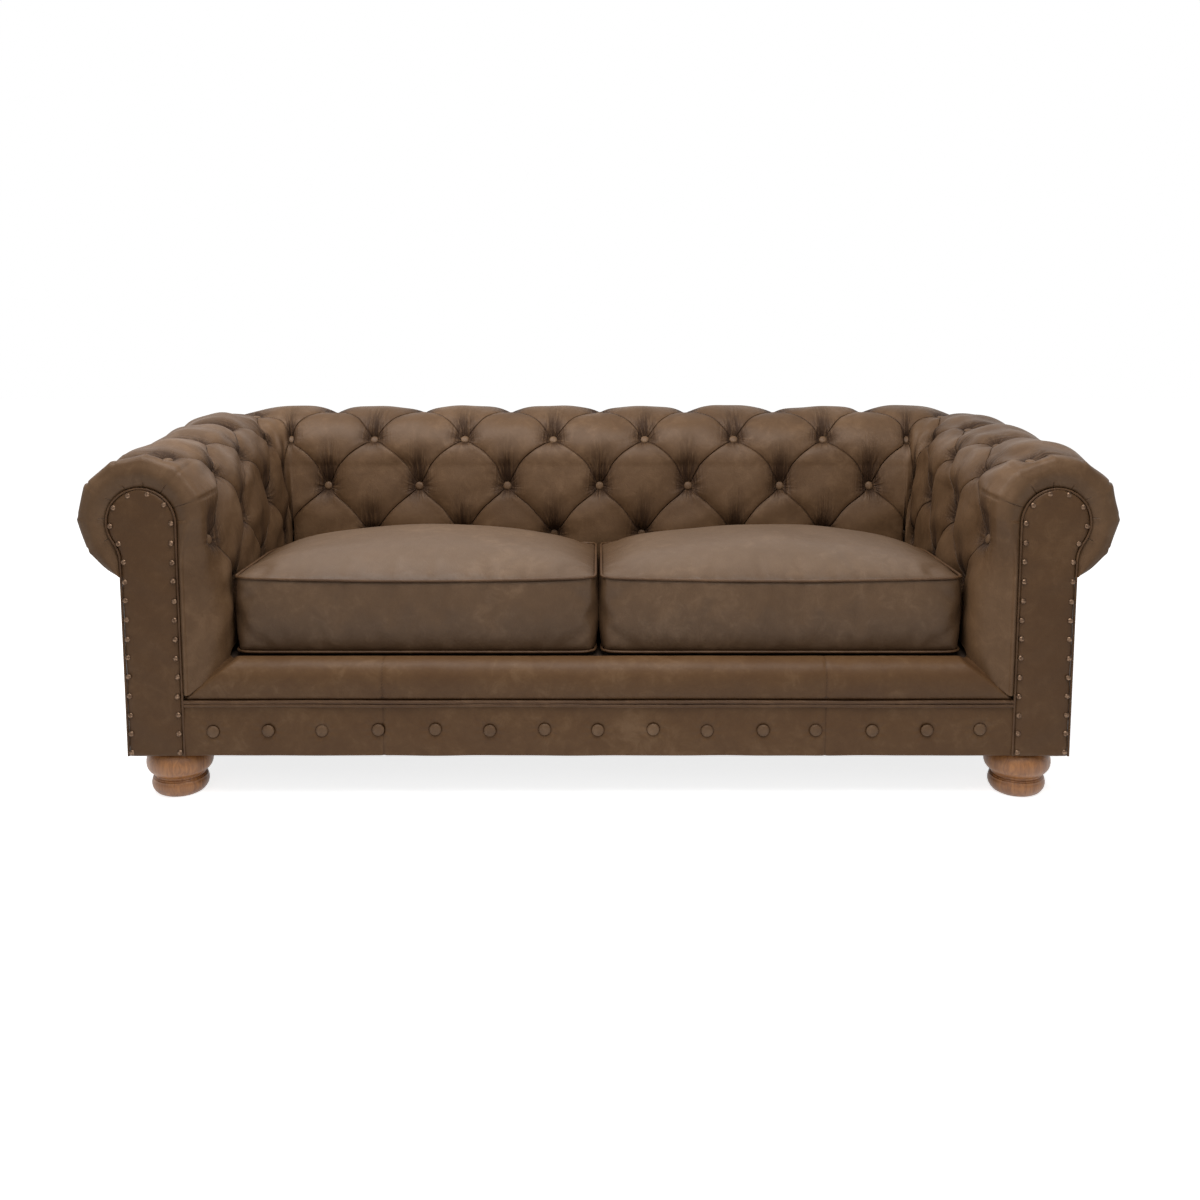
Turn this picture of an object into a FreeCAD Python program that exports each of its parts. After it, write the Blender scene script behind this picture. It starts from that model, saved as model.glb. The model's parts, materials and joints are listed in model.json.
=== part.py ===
import FreeCAD, Part
import math
import os
import Sketcher

# A two-seat chesterfield sofa: hardwood frame, webbing, foam, deep-buttoned leather covers, loose cushions
# and turned bun feet. Millimetres, +Z up, the front faces -Y, left and right are as seen from the front.
# The origin is on the floor under the middle of the sofa.

Vector = FreeCAD.Vector

DIMENSIONS = {
    # the rolled arms and back: one section carried round a U-shaped centre line
    "roll_centre_x": 958.0,
    "roll_centre_y": 339.0,
    "roll_centre_z": 618.0,
    "corner_radius": 166.0,
    "front_plane_y": -476.0,
    "crest_radius": 140.0,
    "crease_radius": 122.0,
    "foam_radius": 103.5,
    "foam_gap": 0.5,
    "outer_face_offset": 48.0,
    "leather_thickness": 3.0,
    "cover_bottom_z": 312.0,
    # the deep buttoning
    "tuft_pitch": 235.0,
    "back_first_row_angle": 86.0,
    "arm_first_row_angle": 68.0,
    "second_row_angle": 38.0,
    "third_row_z": 575.0,
    "fourth_row_z": 437.0,
    "wall_crest_offset": 160.0,
    "wall_crease_offset": 138.0,
    "button_radius": 13.0,
    "button_height": 12.0,
    # the arm facings
    "facing_outer_x": 1006.0,
    "facing_inner_x": 884.0,
    "head_radius": 74.0,
    "head_centre_z": 609.0,
    "waist_z": 526.0,
    "neck_x": 1018.8,
    "neck_z": 566.8,
    "waist_radius": 71.5,
    "facing_thickness": 12.0,
    "welt_width": 4.0,
    "welt_stand_out": 2.0,
    "nail_radius": 5.5,
    "nail_height": 3.0,
    "nail_inset": 9.5,
    "nail_pitch": 41.0,
    # the base
    "body_bottom_z": 100.0,
    "rail_bottom_z": 101.0,
    "rail_top_z": 205.0,
    "rail_thickness": 28.0,
    "post_thickness": 28.0,
    "strap_thickness": 2.5,
    "strap_width": 50.0,
    "border_top_z": 209.0,
    "border_thickness": 7.0,
    "border_welt_top_z": 226.0,
    "border_welt_inset": 0.5,
    "border_welt_radius": 5.0,
    "edge_top_z": 310.0,
    "edge_rear_y": -410.0,
    "edge_stand_out": 6.0,
    "edge_nose_swell": 4.0,
    "edge_nose_drop": 42.0,
    "edge_nose_radius": 48.0,
    "edge_top_run": 30.0,
    "edge_face_radius": 80.0,
    "edge_rear_rise": 1.0,
    "deck_top_z": 296.0,
    "deck_cloth_thickness": 3.0,
    "border_button_z": 157.0,
    "border_button_pitch": 117.0,
    "border_button_height": 6.0,
    # rails and posts behind the padding
    "top_rail_half_width": 35.0,
    "top_rail_bottom_z": 598.0,
    "top_rail_top_z": 638.0,
    "stuffing_rail_bottom_z": 284.0,
    "stuffing_rail_width": 27.5,
    "tacking_strip_bottom_z": 466.0,
    "tacking_strip_top_z": 493.5,
    "tacking_strip_depth": 20.0,
    "outside_panel_top_z": 493.0,
    "stretcher_top_z": 161.0,
    "upright_width": 44.0,
    "corner_post_shift": 107.0,
    "back_upright_x": 325.0,
    "arm_upright_y": -130.0,
    "webbing_pitch": 130.0,
    # the feet
    "front_foot_x": 917.0,
    "front_foot_y": -406.0,
    "rear_foot_x": 900.0,
    "rear_foot_y": 268.0,
    "foot_height": 100.0,
    "foot_tread_radius": 47.0,
    "foot_ring_radius": 61.0,
    "foot_ring_z": 22.0,
    "foot_waist_radius": 54.0,
    "foot_waist_z": 47.0,
    "foot_bun_radius": 71.0,
    "foot_bun_z": 74.5,
    "foot_bun_rounding": 5.0,
    "foot_bun_half_height": 14.5,
    "foot_top_radius": 58.0,
    "lining_inset": 6.0,
    "bolt_radius": 4.0,
    "bolt_clearance": 0.2,
    "bolt_low_z": 56.0,
    "bolt_high_z": 137.0,
    "foot_block_side": 80.0,
    "foot_block_height": 40.0,
    # the two loose seat cushions
    "cushion_outer_x": 790.0,
    "cushion_inner_x": 5.0,
    "cushion_front_y": -406.0,
    "cushion_rear_y": 168.0,
    "cushion_bottom_z": 296.5,
    "lower_seam_z": 309.0,
    "upper_seam_z": 474.0,
    "cushion_crown_z": 518.0,
    "cushion_pitch_angle": 3.4,
    "cushion_corner_radius": 42.0,
    "piping_width": 5.0,
    "zip_length": 600.0,
    "zip_height": 4.0,
    "zip_z": 372.0,
}

# The tufted surface is laid out by rows of buttons: row 0 is the first, row 3 the last, and the surface
# runs on over the roll to row -3 and down to row 4.
ROLL_END_ANGLE = 249.0
ROLL_END_RADIUS = 133.0
ROLL_ROWS = 3
LAST_BUTTON_ROW = 3
LAST_ROW = 4
STEPS_PER_ROW = 3
CREASE_RISE = 0.2
DIMPLE = 0.2
PILLOW_FULLNESS = 0.6
ARC_END_ROW = 1.683
ROLL_FLATTENS_ANGLE = 200.0
WALL_SWELL_DROP = 150.0
LOWER_CREASE_RISE = 12.0
FRONT_ROUND = 70.0
FRONT_ROLL_RADIUS = 119.0
FRONT_WALL_OFFSET = 88.0
FRONT_WALL_DROP = 100.0
FRONT_FLATTENS_ANGLE = 180.0

# Behind the cover: inward distances and heights that close its form where the foam and the rails go
BEHIND = [(60.0, 312.0), (60.0, 560.0), (0.0, 570.0), (-45.0, 530.0)]
WALL_FACE = 120.0
FOAM_FLATS = 12
FIT = 0.3
COVER_LIP = 5.0
FACING_ROOM = 60.0
DECK_PLAY = 1.0
BUTTON_SIDES = 8
BUTTON_SHOULDER = 0.6
BUTTON_FACE = 0.7
NAIL_SIDES = 6
BOLT_SIDES = 12
SEAM_INSET = 5.0
ZIP_TAPE = 4.0


class Size:
    """A number together with the spreadsheet expression that gives it."""

    def __init__(self, value, text):
        self.value = value
        self.text = text

    def _joined(self, other, sign, value):
        other = as_size(other)
        return Size(value(self.value, other.value), "(%s %s %s)" % (self.text, sign, other.text))

    def __add__(self, other):
        return self._joined(other, "+", lambda a, b: a + b)

    def __radd__(self, other):
        return as_size(other) + self

    def __sub__(self, other):
        return self._joined(other, "-", lambda a, b: a - b)

    def __rsub__(self, other):
        return as_size(other) - self

    def __mul__(self, other):
        return self._joined(other, "*", lambda a, b: a * b)

    def __rmul__(self, other):
        return as_size(other) * self

    def __truediv__(self, other):
        return self._joined(other, "/", lambda a, b: a / b)

    def __neg__(self):
        return Size(-self.value, "(0 - %s)" % self.text)


def as_size(thing):
    return thing if isinstance(thing, Size) else Size(float(thing), repr(float(thing)))


def size(name):
    return Size(DIMENSIONS[name], "Dimensions." + name)


def val(name):
    return DIMENSIONS[name]


doc = FreeCAD.newDocument("Chesterfield")
sheet = doc.addObject("Spreadsheet::Sheet", "Dimensions")
for row, (alias, number) in enumerate(DIMENSIONS.items(), start=1):
    sheet.set("A%d" % row, alias)
    sheet.set("B%d" % row, str(number))
    sheet.setAlias("B%d" % row, alias)
doc.recompute()

nodes = {}


def keep(thing, label):
    thing.Label = label
    nodes[label] = thing
    return thing


def feature(label, shape):
    """A sub-part whose shape is made with Part's own functions."""
    thing = doc.addObject("Part::Feature", label)
    thing.Shape = shape
    thing.Placement = FreeCAD.Placement()
    return keep(thing, label)


def box(name, low, high):
    """A board or block between two corners, every size bound to the sheet."""
    thing = doc.addObject("Part::Box", name)
    for prop, axis, a, b in zip(("Length", "Width", "Height"), "xyz", low, high):
        a = as_size(a)
        b = as_size(b)
        thing.setExpression(prop, (b - a).text)
        thing.setExpression(".Placement.Base." + axis, a.text)
    return thing


def board(label, low, high):
    return keep(box(label, low, high), label)


def group(label, members):
    """Separate pieces of one kind, kept together under one name."""
    thing = doc.addObject("Part::Compound", label)
    thing.Links = members
    return keep(thing, label)


def plane_of(body, role):
    return next(item for item in body.Origin.OriginFeatures if item.Role == role)


def new_sketch(body, name, role):
    sketch = body.newObject("Sketcher::SketchObject", name)
    sketch.AttachmentSupport = (plane_of(body, role), [""])
    sketch.MapMode = "FlatFace"
    return sketch


def arc_between(start, end, radius, side):
    """The smaller arc from start to end, bulging to the given side of the chord (+1 is to its left)."""
    chord = end - start
    half = chord.Length / 2
    across = Vector(-chord.y, chord.x, 0) / chord.Length * side
    rise = radius - math.sqrt(max(radius * radius - half * half, 0.0))
    return Part.Arc(start, (start + end) / 2 + across * rise, end)


def outline(sketch, corners, arcs):
    """A closed outline: corners are pairs of sizes, arcs maps a corner's index to (radius, side)."""
    corners = [(as_size(a), as_size(b)) for a, b in corners]
    points = [Vector(a.value, b.value, 0) for a, b in corners]
    for index, point in enumerate(points):
        following = points[(index + 1) % len(points)]
        if index in arcs:
            radius, side = arcs[index]
            radius = as_size(radius)
            edge = sketch.addGeometry(arc_between(point, following, radius.value, side), False)
            bound = sketch.addConstraint(Sketcher.Constraint("Radius", edge, radius.value))
            sketch.setExpression("Constraints[%d]" % bound, radius.text)
        else:
            edge = sketch.addGeometry(Part.LineSegment(point, following), False)
        for corner, place in ((index, point), ((index + 1) % len(points), following)):
            near = min((1, 2), key=lambda end: (sketch.getPoint(edge, end) - place).Length)
            for kind, wanted in zip(("DistanceX", "DistanceY"), corners[corner]):
                bound = sketch.addConstraint(Sketcher.Constraint(kind, edge, near, wanted.value))
                sketch.setExpression("Constraints[%d]" % bound, wanted.text)


def padded_out(label, corners, arcs, role, depth, offset):
    """A body made of one outline pushed out along its plane's normal."""
    body = doc.addObject("PartDesign::Body", label)
    sketch = new_sketch(body, label + "_outline", role)
    outline(sketch, corners, arcs)
    pad = body.newObject("PartDesign::Pad", label + "_pad")
    pad.Profile = sketch
    pad.setExpression("Length", as_size(depth).text)
    sketch.setExpression(".AttachmentOffset.Base.z", as_size(offset).text)
    sketch.Visibility = False
    return keep(body, label)


def mirrored(shape):
    return shape.mirror(Vector(0, 0, 0), Vector(1, 0, 0))


# The centre line starts in the middle of the back and runs to the left, round the corner and down the arm.
STRAIGHT_BACK = val("roll_centre_x") - val("corner_radius")
CORNER_LENGTH = val("corner_radius") * math.pi / 2
ARM_START_Y = val("roll_centre_y") - val("corner_radius")
ARM_FRONT = STRAIGHT_BACK + CORNER_LENGTH + ARM_START_Y - val("front_plane_y")


def place(along, inward, height):
    """The point at a distance along the centre line, inward of it and up from the floor."""
    run = abs(along)
    turn = min(max(run - STRAIGHT_BACK, 0.0), CORNER_LENGTH) / val("corner_radius")
    x = -min(run, STRAIGHT_BACK)
    y = ARM_START_Y - max(run - STRAIGHT_BACK - CORNER_LENGTH, 0.0)
    reach = val("corner_radius") - inward
    x -= reach * math.sin(turn)
    y += reach * math.cos(turn)
    return Vector(x if along >= 0 else -x, y, height)


def corner_stations(count):
    return [STRAIGHT_BACK + CORNER_LENGTH * step / count for step in range(count + 1)]


def flat_face(points):
    return Part.Face(Part.makePolygon(list(points) + [points[0]]))


def four_sided(a, b, c, d):
    """One face where the four corners lie in a plane, else two triangles."""
    normal = (b - a).cross(c - a)
    if abs(normal.dot(d - a)) < 1e-5 * normal.Length:
        return [flat_face([a, b, c, d])]
    return [flat_face([a, b, c]), flat_face([a, c, d])]


def closed(faces):
    shell = Part.makeShell(faces)
    shell.sewShape()
    solid = Part.makeSolid(shell)
    if solid.Volume < 0:
        solid.reverse()
    return solid


def skinned(rings):
    """A flat-faced solid through rings of points; the first ring may be a single point, a tip."""
    faces = [flat_face(rings[-1])]
    if len(rings[0]) > 1:
        faces.append(flat_face(rings[0]))
    for here, there in zip(rings, rings[1:]):
        for i in range(len(there)):
            k = (i + 1) % len(there)
            if len(here) == 1:
                faces.append(flat_face([here[0], there[k], there[i]]))
            else:
                faces += four_sided(here[i], here[k], there[k], there[i])
    return closed(faces)


CORNER_STATIONS = corner_stations(3)
POST_REAR_Y = val("front_plane_y") + val("facing_thickness") + val("post_thickness")
ARM_STATIONS = [STRAIGHT_BACK + CORNER_LENGTH, ARM_FRONT - (POST_REAR_Y - val("front_plane_y"))]


def bar(stations, inner, outer, low, high):
    """A rectangular bar that follows the centre line between two inward distances and two heights."""
    corners = ((outer, low), (inner, low), (inner, high), (outer, high))
    return skinned([[place(along, s, z) for s, z in corners] for along in stations])


def round_roll(radius, angle):
    """Inward distance and height at an angle round the roll's centre, counted from the inward side."""
    turn = math.radians(angle)
    return radius * math.cos(turn), val("roll_centre_z") + radius * math.sin(turn)


def foam_ring(along, radius, wall_face):
    """The arm and back foam's section: a round top cut in flats, on a straight wall."""
    back_face = val("top_rail_half_width") + val("strap_thickness")
    last_angle = 360 - math.degrees(math.acos(back_face / radius))
    bottom = val("cover_bottom_z")
    ring = [(back_face, bottom), (wall_face, bottom), (wall_face, val("fourth_row_z"))]
    ring += [round_roll(radius, last_angle * step / FOAM_FLATS) for step in range(FOAM_FLATS + 1)]
    return [place(along, s, z) for s, z in ring]


def foam(stations, extra):
    """The foam's shape, swollen by extra; short straight lengths are mitred round the corners."""
    return skinned([foam_ring(t, val("foam_radius") + extra, WALL_FACE + extra) for t in stations])


def rail_tunnel(stations):
    """The room that the foam leaves for the top rail, and under it for the webbing on the rail's face."""
    half = val("top_rail_half_width")
    face = half + val("strap_thickness")
    return [bar(stations, face, -half, val("top_rail_bottom_z"), val("top_rail_top_z")),
            bar(stations, face, half, val("tacking_strip_bottom_z"), val("top_rail_bottom_z"))]


def pillow(fraction):
    return max(4 * fraction * (1 - fraction), 0.0) ** PILLOW_FULLNESS


def tuft_height(along, row):
    """0 in a crease, 1 at the middle of a diamond, below 0 under a button.

    Buttons stand on whole pitches in rows 0 and 2, and half way between in rows 1 and 3. Creases join
    them along both diagonals. Above row 0 and below row 3 straight pleats run on from the buttons.
    """
    row = min(max(row, 0.0), LAST_BUTTON_ROW)
    across = along / val("tuft_pitch")
    first = (across + row / 2) % 1.0
    second = (across - row / 2) % 1.0
    rise = CREASE_RISE * max(4 * first * (1 - first), 4 * second * (1 - second))
    return rise + (1 - rise) * pillow(first) * pillow(second)


def first_row_angle(along):
    """The first row lies on the crest of the back and further inward on the arms."""
    share = min(max((abs(along) - STRAIGHT_BACK) / CORNER_LENGTH, 0.0), 1.0)
    return val("back_first_row_angle") + (val("arm_first_row_angle") - val("back_first_row_angle")) * share


def on_roll(angle, height):
    """A point on the roll: inward distance and height for an angle from the inward side."""
    flat = min(max((angle - ROLL_FLATTENS_ANGLE) / (ROLL_END_ANGLE - ROLL_FLATTENS_ANGLE), 0.0), 1.0)
    crest = val("crest_radius") + (ROLL_END_RADIUS - val("crest_radius")) * flat
    crease = val("crease_radius") + (ROLL_END_RADIUS - val("crease_radius")) * flat
    return round_roll(crease + (crest - crease) * height, angle)


def on_wall(z, height):
    """A point on the inside face under the roll."""
    drop = val("roll_centre_z") - z
    share = math.sin(math.radians(90 * min(drop / WALL_SWELL_DROP, 1.0)))
    crest = val("crest_radius") + (val("wall_crest_offset") - val("crest_radius")) * share
    crease = val("crease_radius") + (val("wall_crease_offset") - val("crease_radius")) * share
    under = max(val("fourth_row_z") - z, 0.0) / (val("fourth_row_z") - val("cover_bottom_z"))
    crease += LOWER_CREASE_RISE * under
    return crease + (crest - crease) * height, z


def section_point(along, row, height):
    if row <= 0:
        start = first_row_angle(along)
        return on_roll(start + (ROLL_END_ANGLE - start) * -row / ROLL_ROWS, height)
    if row <= 1:
        start = first_row_angle(along)
        return on_roll(start + (val("second_row_angle") - start) * row, height)
    if row <= ARC_END_ROW:
        return on_roll(val("second_row_angle") * (ARC_END_ROW - row) / (ARC_END_ROW - 1), height)
    if row <= 2:
        share = (row - ARC_END_ROW) / (2 - ARC_END_ROW)
        return on_wall(val("roll_centre_z") + (val("third_row_z") - val("roll_centre_z")) * share, height)
    if row <= 3:
        return on_wall(val("third_row_z") + (val("fourth_row_z") - val("third_row_z")) * (row - 2), height)
    return on_wall(val("fourth_row_z") + (val("cover_bottom_z") - val("fourth_row_z")) * (row - 3), height)


def front_point(row):
    """Where the padding ends beside the arm's facing."""
    s, z = section_point(ARM_FRONT, row, 1.0)
    if z >= val("roll_centre_z") or row < 0:
        angle = math.degrees(math.atan2(z - val("roll_centre_z"), s)) % 360
        flat = min(max((angle - FRONT_FLATTENS_ANGLE) / (ROLL_END_ANGLE - FRONT_FLATTENS_ANGLE), 0.0), 1.0)
        return round_roll(FRONT_ROLL_RADIUS + (ROLL_END_RADIUS - FRONT_ROLL_RADIUS) * flat, angle)
    share = math.sin(math.radians(90 * min((val("roll_centre_z") - z) / FRONT_WALL_DROP, 1.0)))
    return FRONT_ROLL_RADIUS + (FRONT_WALL_OFFSET - FRONT_ROLL_RADIUS) * share, z


def is_button(along, row):
    if abs(row - round(row)) > 0.01 or not 0 <= round(row) <= LAST_BUTTON_ROW:
        return False
    across = along / val("tuft_pitch") + round(row) / 2
    return abs(across - round(across)) < 0.01


def tufted_point(along, row):
    """A point of the buttoned surface, rounded in at the arm's front end."""
    height = tuft_height(along, row) - (DIMPLE if is_button(along, row) else 0.0)
    s, z = section_point(along, row, height)
    depth = ARM_FRONT - abs(along)
    if depth < FRONT_ROUND:
        share = math.sqrt(max(1 - (1 - depth / FRONT_ROUND) ** 2, 0.0))
        s0, z0 = front_point(row)
        s = s0 + (s - s0) * share
        z = z0 + (z - z0) * share
    return place(along, s, z)


ROWS = [step / STEPS_PER_ROW for step in range(-ROLL_ROWS * STEPS_PER_ROW, LAST_ROW * STEPS_PER_ROW + 1)]
COLUMN = val("tuft_pitch") / (2 * STEPS_PER_ROW)
BACK_COLUMNS = 20
CORNER_COLUMNS = 27
ARM_COLUMNS = 43


def crease_runs_down(along, row, height):
    """Which diagonal of a cell the two facets share: along a crease, else over the higher ridge."""
    step = round(along / COLUMN)
    level = round(row * STEPS_PER_ROW)
    if 0 <= row < LAST_BUTTON_ROW and abs(along / COLUMN - step) < 0.01:
        if (step - level) % (2 * STEPS_PER_ROW) == 0:
            return True
        if (step + level + 1) % (2 * STEPS_PER_ROW) == 0:
            return False
    return height[0][0] + height[1][1] >= height[0][1] + height[1][0]


def tufted_solid(columns):
    """The padded cover's outer form between two stations, filled in behind."""
    behind = BEHIND + [(BEHIND[-1][0], section_point(columns[0], -ROLL_ROWS, 0.0)[1])]
    rings = []
    for along in columns:
        ring = [tufted_point(along, row) for row in ROWS]
        ring += [place(along, s, z) for s, z in behind]
        rings.append(ring)
    faces = [flat_face(rings[0]), flat_face(rings[-1])]
    for j in range(len(columns) - 1):
        here = rings[j]
        there = rings[j + 1]
        for i in range(len(ROWS) - 1):
            corner = [[here[i], here[i + 1]], [there[i], there[i + 1]]]
            height = [[tuft_height(a, r) for r in ROWS[i:i + 2]] for a in columns[j:j + 2]]
            if crease_runs_down(columns[j], ROWS[i], height):
                faces.append(flat_face([corner[0][0], corner[0][1], corner[1][1]]))
                faces.append(flat_face([corner[0][0], corner[1][1], corner[1][0]]))
            else:
                faces.append(flat_face([corner[0][0], corner[0][1], corner[1][0]]))
                faces.append(flat_face([corner[0][1], corner[1][1], corner[1][0]]))
        for i in range(len(ROWS) - 1, len(here)):
            k = (i + 1) % len(here)
            faces += four_sided(here[i], here[k], there[k], there[i])
    return closed(faces)


def facing_corners(inset, side, bottom):
    """The keyhole outline of an arm's front, drawn in by inset; side is +1 on the right, -1 on the left."""
    outer = size("facing_outer_x") - inset
    inner = size("facing_inner_x") + inset
    radius = size("head_radius") - inset
    share = radius / size("head_radius")
    neck_x = size("roll_centre_x") + (size("neck_x") - size("roll_centre_x")) * share
    neck_z = size("head_centre_z") + (size("neck_z") - size("head_centre_z")) * share
    corners = [
        (inner * side, bottom),
        (outer * side, bottom),
        (outer * side, size("waist_z")),
        (neck_x * side, neck_z),
        (size("roll_centre_x") * side, size("head_centre_z") + radius),
        (inner * side, size("head_centre_z")),
    ]
    arcs = {2: (size("waist_radius") + inset, side), 3: (radius, -side), 4: (radius, -side)}
    return corners, arcs


def outline_face(corners, arcs, y):
    """The same kind of outline as a face across the Y axis."""
    points = [Vector(a.value, b.value, 0) for a, b in corners]
    edges = []
    for index, point in enumerate(points):
        following = points[(index + 1) % len(points)]
        if index in arcs:
            radius, side = arcs[index]
            edges.append(arc_between(point, following, radius.value, side).toShape())
        else:
            edges.append(Part.makeLine(point, following))
    face = Part.Face(Part.Wire(edges))
    face.rotate(Vector(0, 0, 0), Vector(1, 0, 0), 90)
    face.translate(Vector(0, y, 0))
    return face


# The places that the frame's pieces are set out from.
centre_x = size("roll_centre_x")
centre_y = size("roll_centre_y")
bend = size("corner_radius")
back_x = centre_x - bend
arm_y = centre_y - bend
outer_x = centre_x + size("outer_face_offset")
outer_y = centre_y + size("outer_face_offset")
leather = size("leather_thickness")
inside_x = outer_x - leather
inside_y = outer_y - leather
thick = size("rail_thickness")
strap = size("strap_thickness")
post_front = size("front_plane_y") + size("facing_thickness")
post_rear = post_front + size("post_thickness")
rail_low = size("rail_bottom_z")
rail_high = size("rail_top_z")
half_rail = size("top_rail_half_width")
panel_top = size("outside_panel_top_z")
seat_half = size("facing_inner_x") - FIT


def both_sides(name, maker):
    """One piece on each side of the sofa, from a maker that takes the name and the sign of x."""
    return [maker("left_" + name, -1), maker("right_" + name, 1)]


def spanned(side, near, far):
    """Two x sizes on one side, in rising order."""
    near = as_size(near)
    far = as_size(far)
    return (near, far) if side > 0 else (-far, -near)


def side_box(name, side, near, far, y_low, y_high, z_low, z_high):
    low_x, high_x = spanned(side, near, far)
    return box(name, (low_x, y_low, z_low), (high_x, y_high, z_high))


def standing(thing, x, y, low, high):
    """Sets a round piece upright between two heights."""
    thing.setExpression("Height", (as_size(high) - as_size(low)).text)
    for axis, number in zip("xyz", (x, y, low)):
        thing.setExpression(".Placement.Base." + axis, as_size(number).text)
    return thing


def drum(name, radius, x, y, low, high):
    thing = doc.addObject("Part::Cylinder", name)
    thing.setExpression("Radius", as_size(radius).text)
    return standing(thing, x, y, low, high)


def peg(name, radius, x, y, low, high):
    """A many-sided upright peg."""
    thing = doc.addObject("Part::Prism", name)
    thing.Polygon = BOLT_SIDES
    thing.setExpression("Circumradius", as_size(radius).text)
    return standing(thing, x, y, low, high)


def cut(name, base, tool):
    thing = doc.addObject("Part::Cut", name)
    thing.Base = base
    thing.Tool = tool
    return thing


def quarter_ring(name, side, inner, outer, low, high):
    """A quarter of a ring round one rear corner."""
    parts = []
    for end, radius in (("_outer", outer), ("_inner", inner)):
        part = drum(name + end, radius, back_x * side, arm_y, low, high)
        part.Angle = 90
        part.Placement.Rotation = FreeCAD.Rotation(Vector(0, 0, 1), 0 if side > 0 else 90)
        parts.append(part)
    return cut(name, *parts)


# The base frame
board("front_rail", (-(size("facing_inner_x") + leather), post_front, rail_low),
      (size("facing_inner_x") + leather, post_rear, rail_high))
board("back_rail", (-back_x, inside_y - thick, rail_low), (back_x, inside_y, rail_high))
board("centre_stretcher", (-size("upright_width") / 2, post_rear, rail_low),
      (size("upright_width") / 2, inside_y - thick, size("stretcher_top_z")))
for piece in both_sides("side_rail", lambda name, side: side_box(
        name, side, inside_x - thick, inside_x, post_rear, arm_y, rail_low, rail_high + strap)):
    keep(piece, piece.Name)
ring_outer = bend + size("outer_face_offset") - leather
group("rear_corner_rails", both_sides("rear_corner_rail", lambda name, side: quarter_ring(
    name, side, ring_outer - thick, ring_outer, rail_low, rail_high)))

# Arm posts: the scroll-shaped boards behind the facings
for label, side in (("left_arm_post", -1), ("right_arm_post", 1)):
    corners, arcs = facing_corners(leather, side, rail_low)
    padded_out(label, corners, arcs, "XZ_Plane", size("post_thickness"), -post_rear)

# Posts and uprights between the base and the top rails
post_half = size("upright_width") / 2
post_shift = size("corner_post_shift")
block_top = rail_low + size("foot_block_height")
top_low = size("top_rail_bottom_z")
upright_x = size("back_upright_x")
arm_upright_y = size("arm_upright_y")


def corner_post(name, side):
    return side_box(name, side, back_x + post_shift - post_half, back_x + post_shift + post_half,
                    arm_y + post_shift - post_half, arm_y + post_shift + post_half, block_top, top_low)


def back_upright(name, side):
    return side_box(name, side, upright_x - post_half, upright_x + post_half,
                    inside_y - thick, inside_y, rail_high, top_low)


def arm_upright(name, side):
    return side_box(name, side, inside_x - thick, inside_x, arm_upright_y - post_half,
                    arm_upright_y + post_half, rail_high + strap, top_low)


group("uprights", both_sides("corner_post", corner_post) + both_sides("back_upright", back_upright)
      + both_sides("arm_upright", arm_upright))

# Top rails inside the roll
top_high = size("top_rail_top_z")
for piece in both_sides("arm_top_rail", lambda name, side: side_box(
        name, side, centre_x - half_rail, centre_x + half_rail, post_rear, arm_y, top_low, top_high)):
    keep(piece, piece.Name)
board("back_top_rail", (-back_x, centre_y - half_rail, top_low), (back_x, centre_y + half_rail, top_high))
corner_rail = bar(CORNER_STATIONS, half_rail.value, -half_rail.value, top_low.value, top_high.value)
feature("corner_top_rails", Part.makeCompound([corner_rail, mirrored(corner_rail)]))

# Stuffing rails, which the lower edges of the inside covers are tacked to
stuffing_near = half_rail + strap
stuffing_far = stuffing_near + size("stuffing_rail_width")
stuffing_low = size("stuffing_rail_bottom_z")
stuffing_high = size("cover_bottom_z")
post_inner_x = back_x + post_shift - post_half
post_front_y = arm_y + post_shift - post_half
group("stuffing_rails", both_sides("arm_stuffing_rail", lambda name, side: side_box(
    name, side, centre_x - stuffing_far, centre_x - stuffing_near, post_rear, post_front_y,
    stuffing_low, stuffing_high)) + [box(
        "back_stuffing_rail", (-post_inner_x, centre_y - stuffing_far, stuffing_low),
        (post_inner_x, centre_y - stuffing_near, stuffing_high))])

# Tacking strips, which carry the tops of the outside panels
strip_low = size("tacking_strip_bottom_z")
strip_high = size("tacking_strip_top_z")
strip_deep = size("tacking_strip_depth")


def arm_strips(side):
    name = "left_strip" if side < 0 else "right_strip"
    ends = [(post_rear, arm_upright_y - post_half), (arm_upright_y + post_half, arm_y)]
    return [side_box("%s_%d" % (name, index), side, inside_x - strip_deep, inside_x, near, far,
                     strip_low, strip_high) for index, (near, far) in enumerate(ends)]


def back_strips():
    ends = [(-back_x, -(upright_x + post_half)), (-(upright_x - post_half), upright_x - post_half),
            (upright_x + post_half, back_x)]
    return [box("back_strip_%d" % index, (near, inside_y - strip_deep, strip_low),
                (far, inside_y, strip_high)) for index, (near, far) in enumerate(ends)]


group("tacking_strips", arm_strips(-1) + arm_strips(1) + back_strips() + both_sides(
    "corner_strip", lambda name, side: quarter_ring(
        name, side, ring_outer - strip_deep, ring_outer, strip_low, strip_high)))

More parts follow.
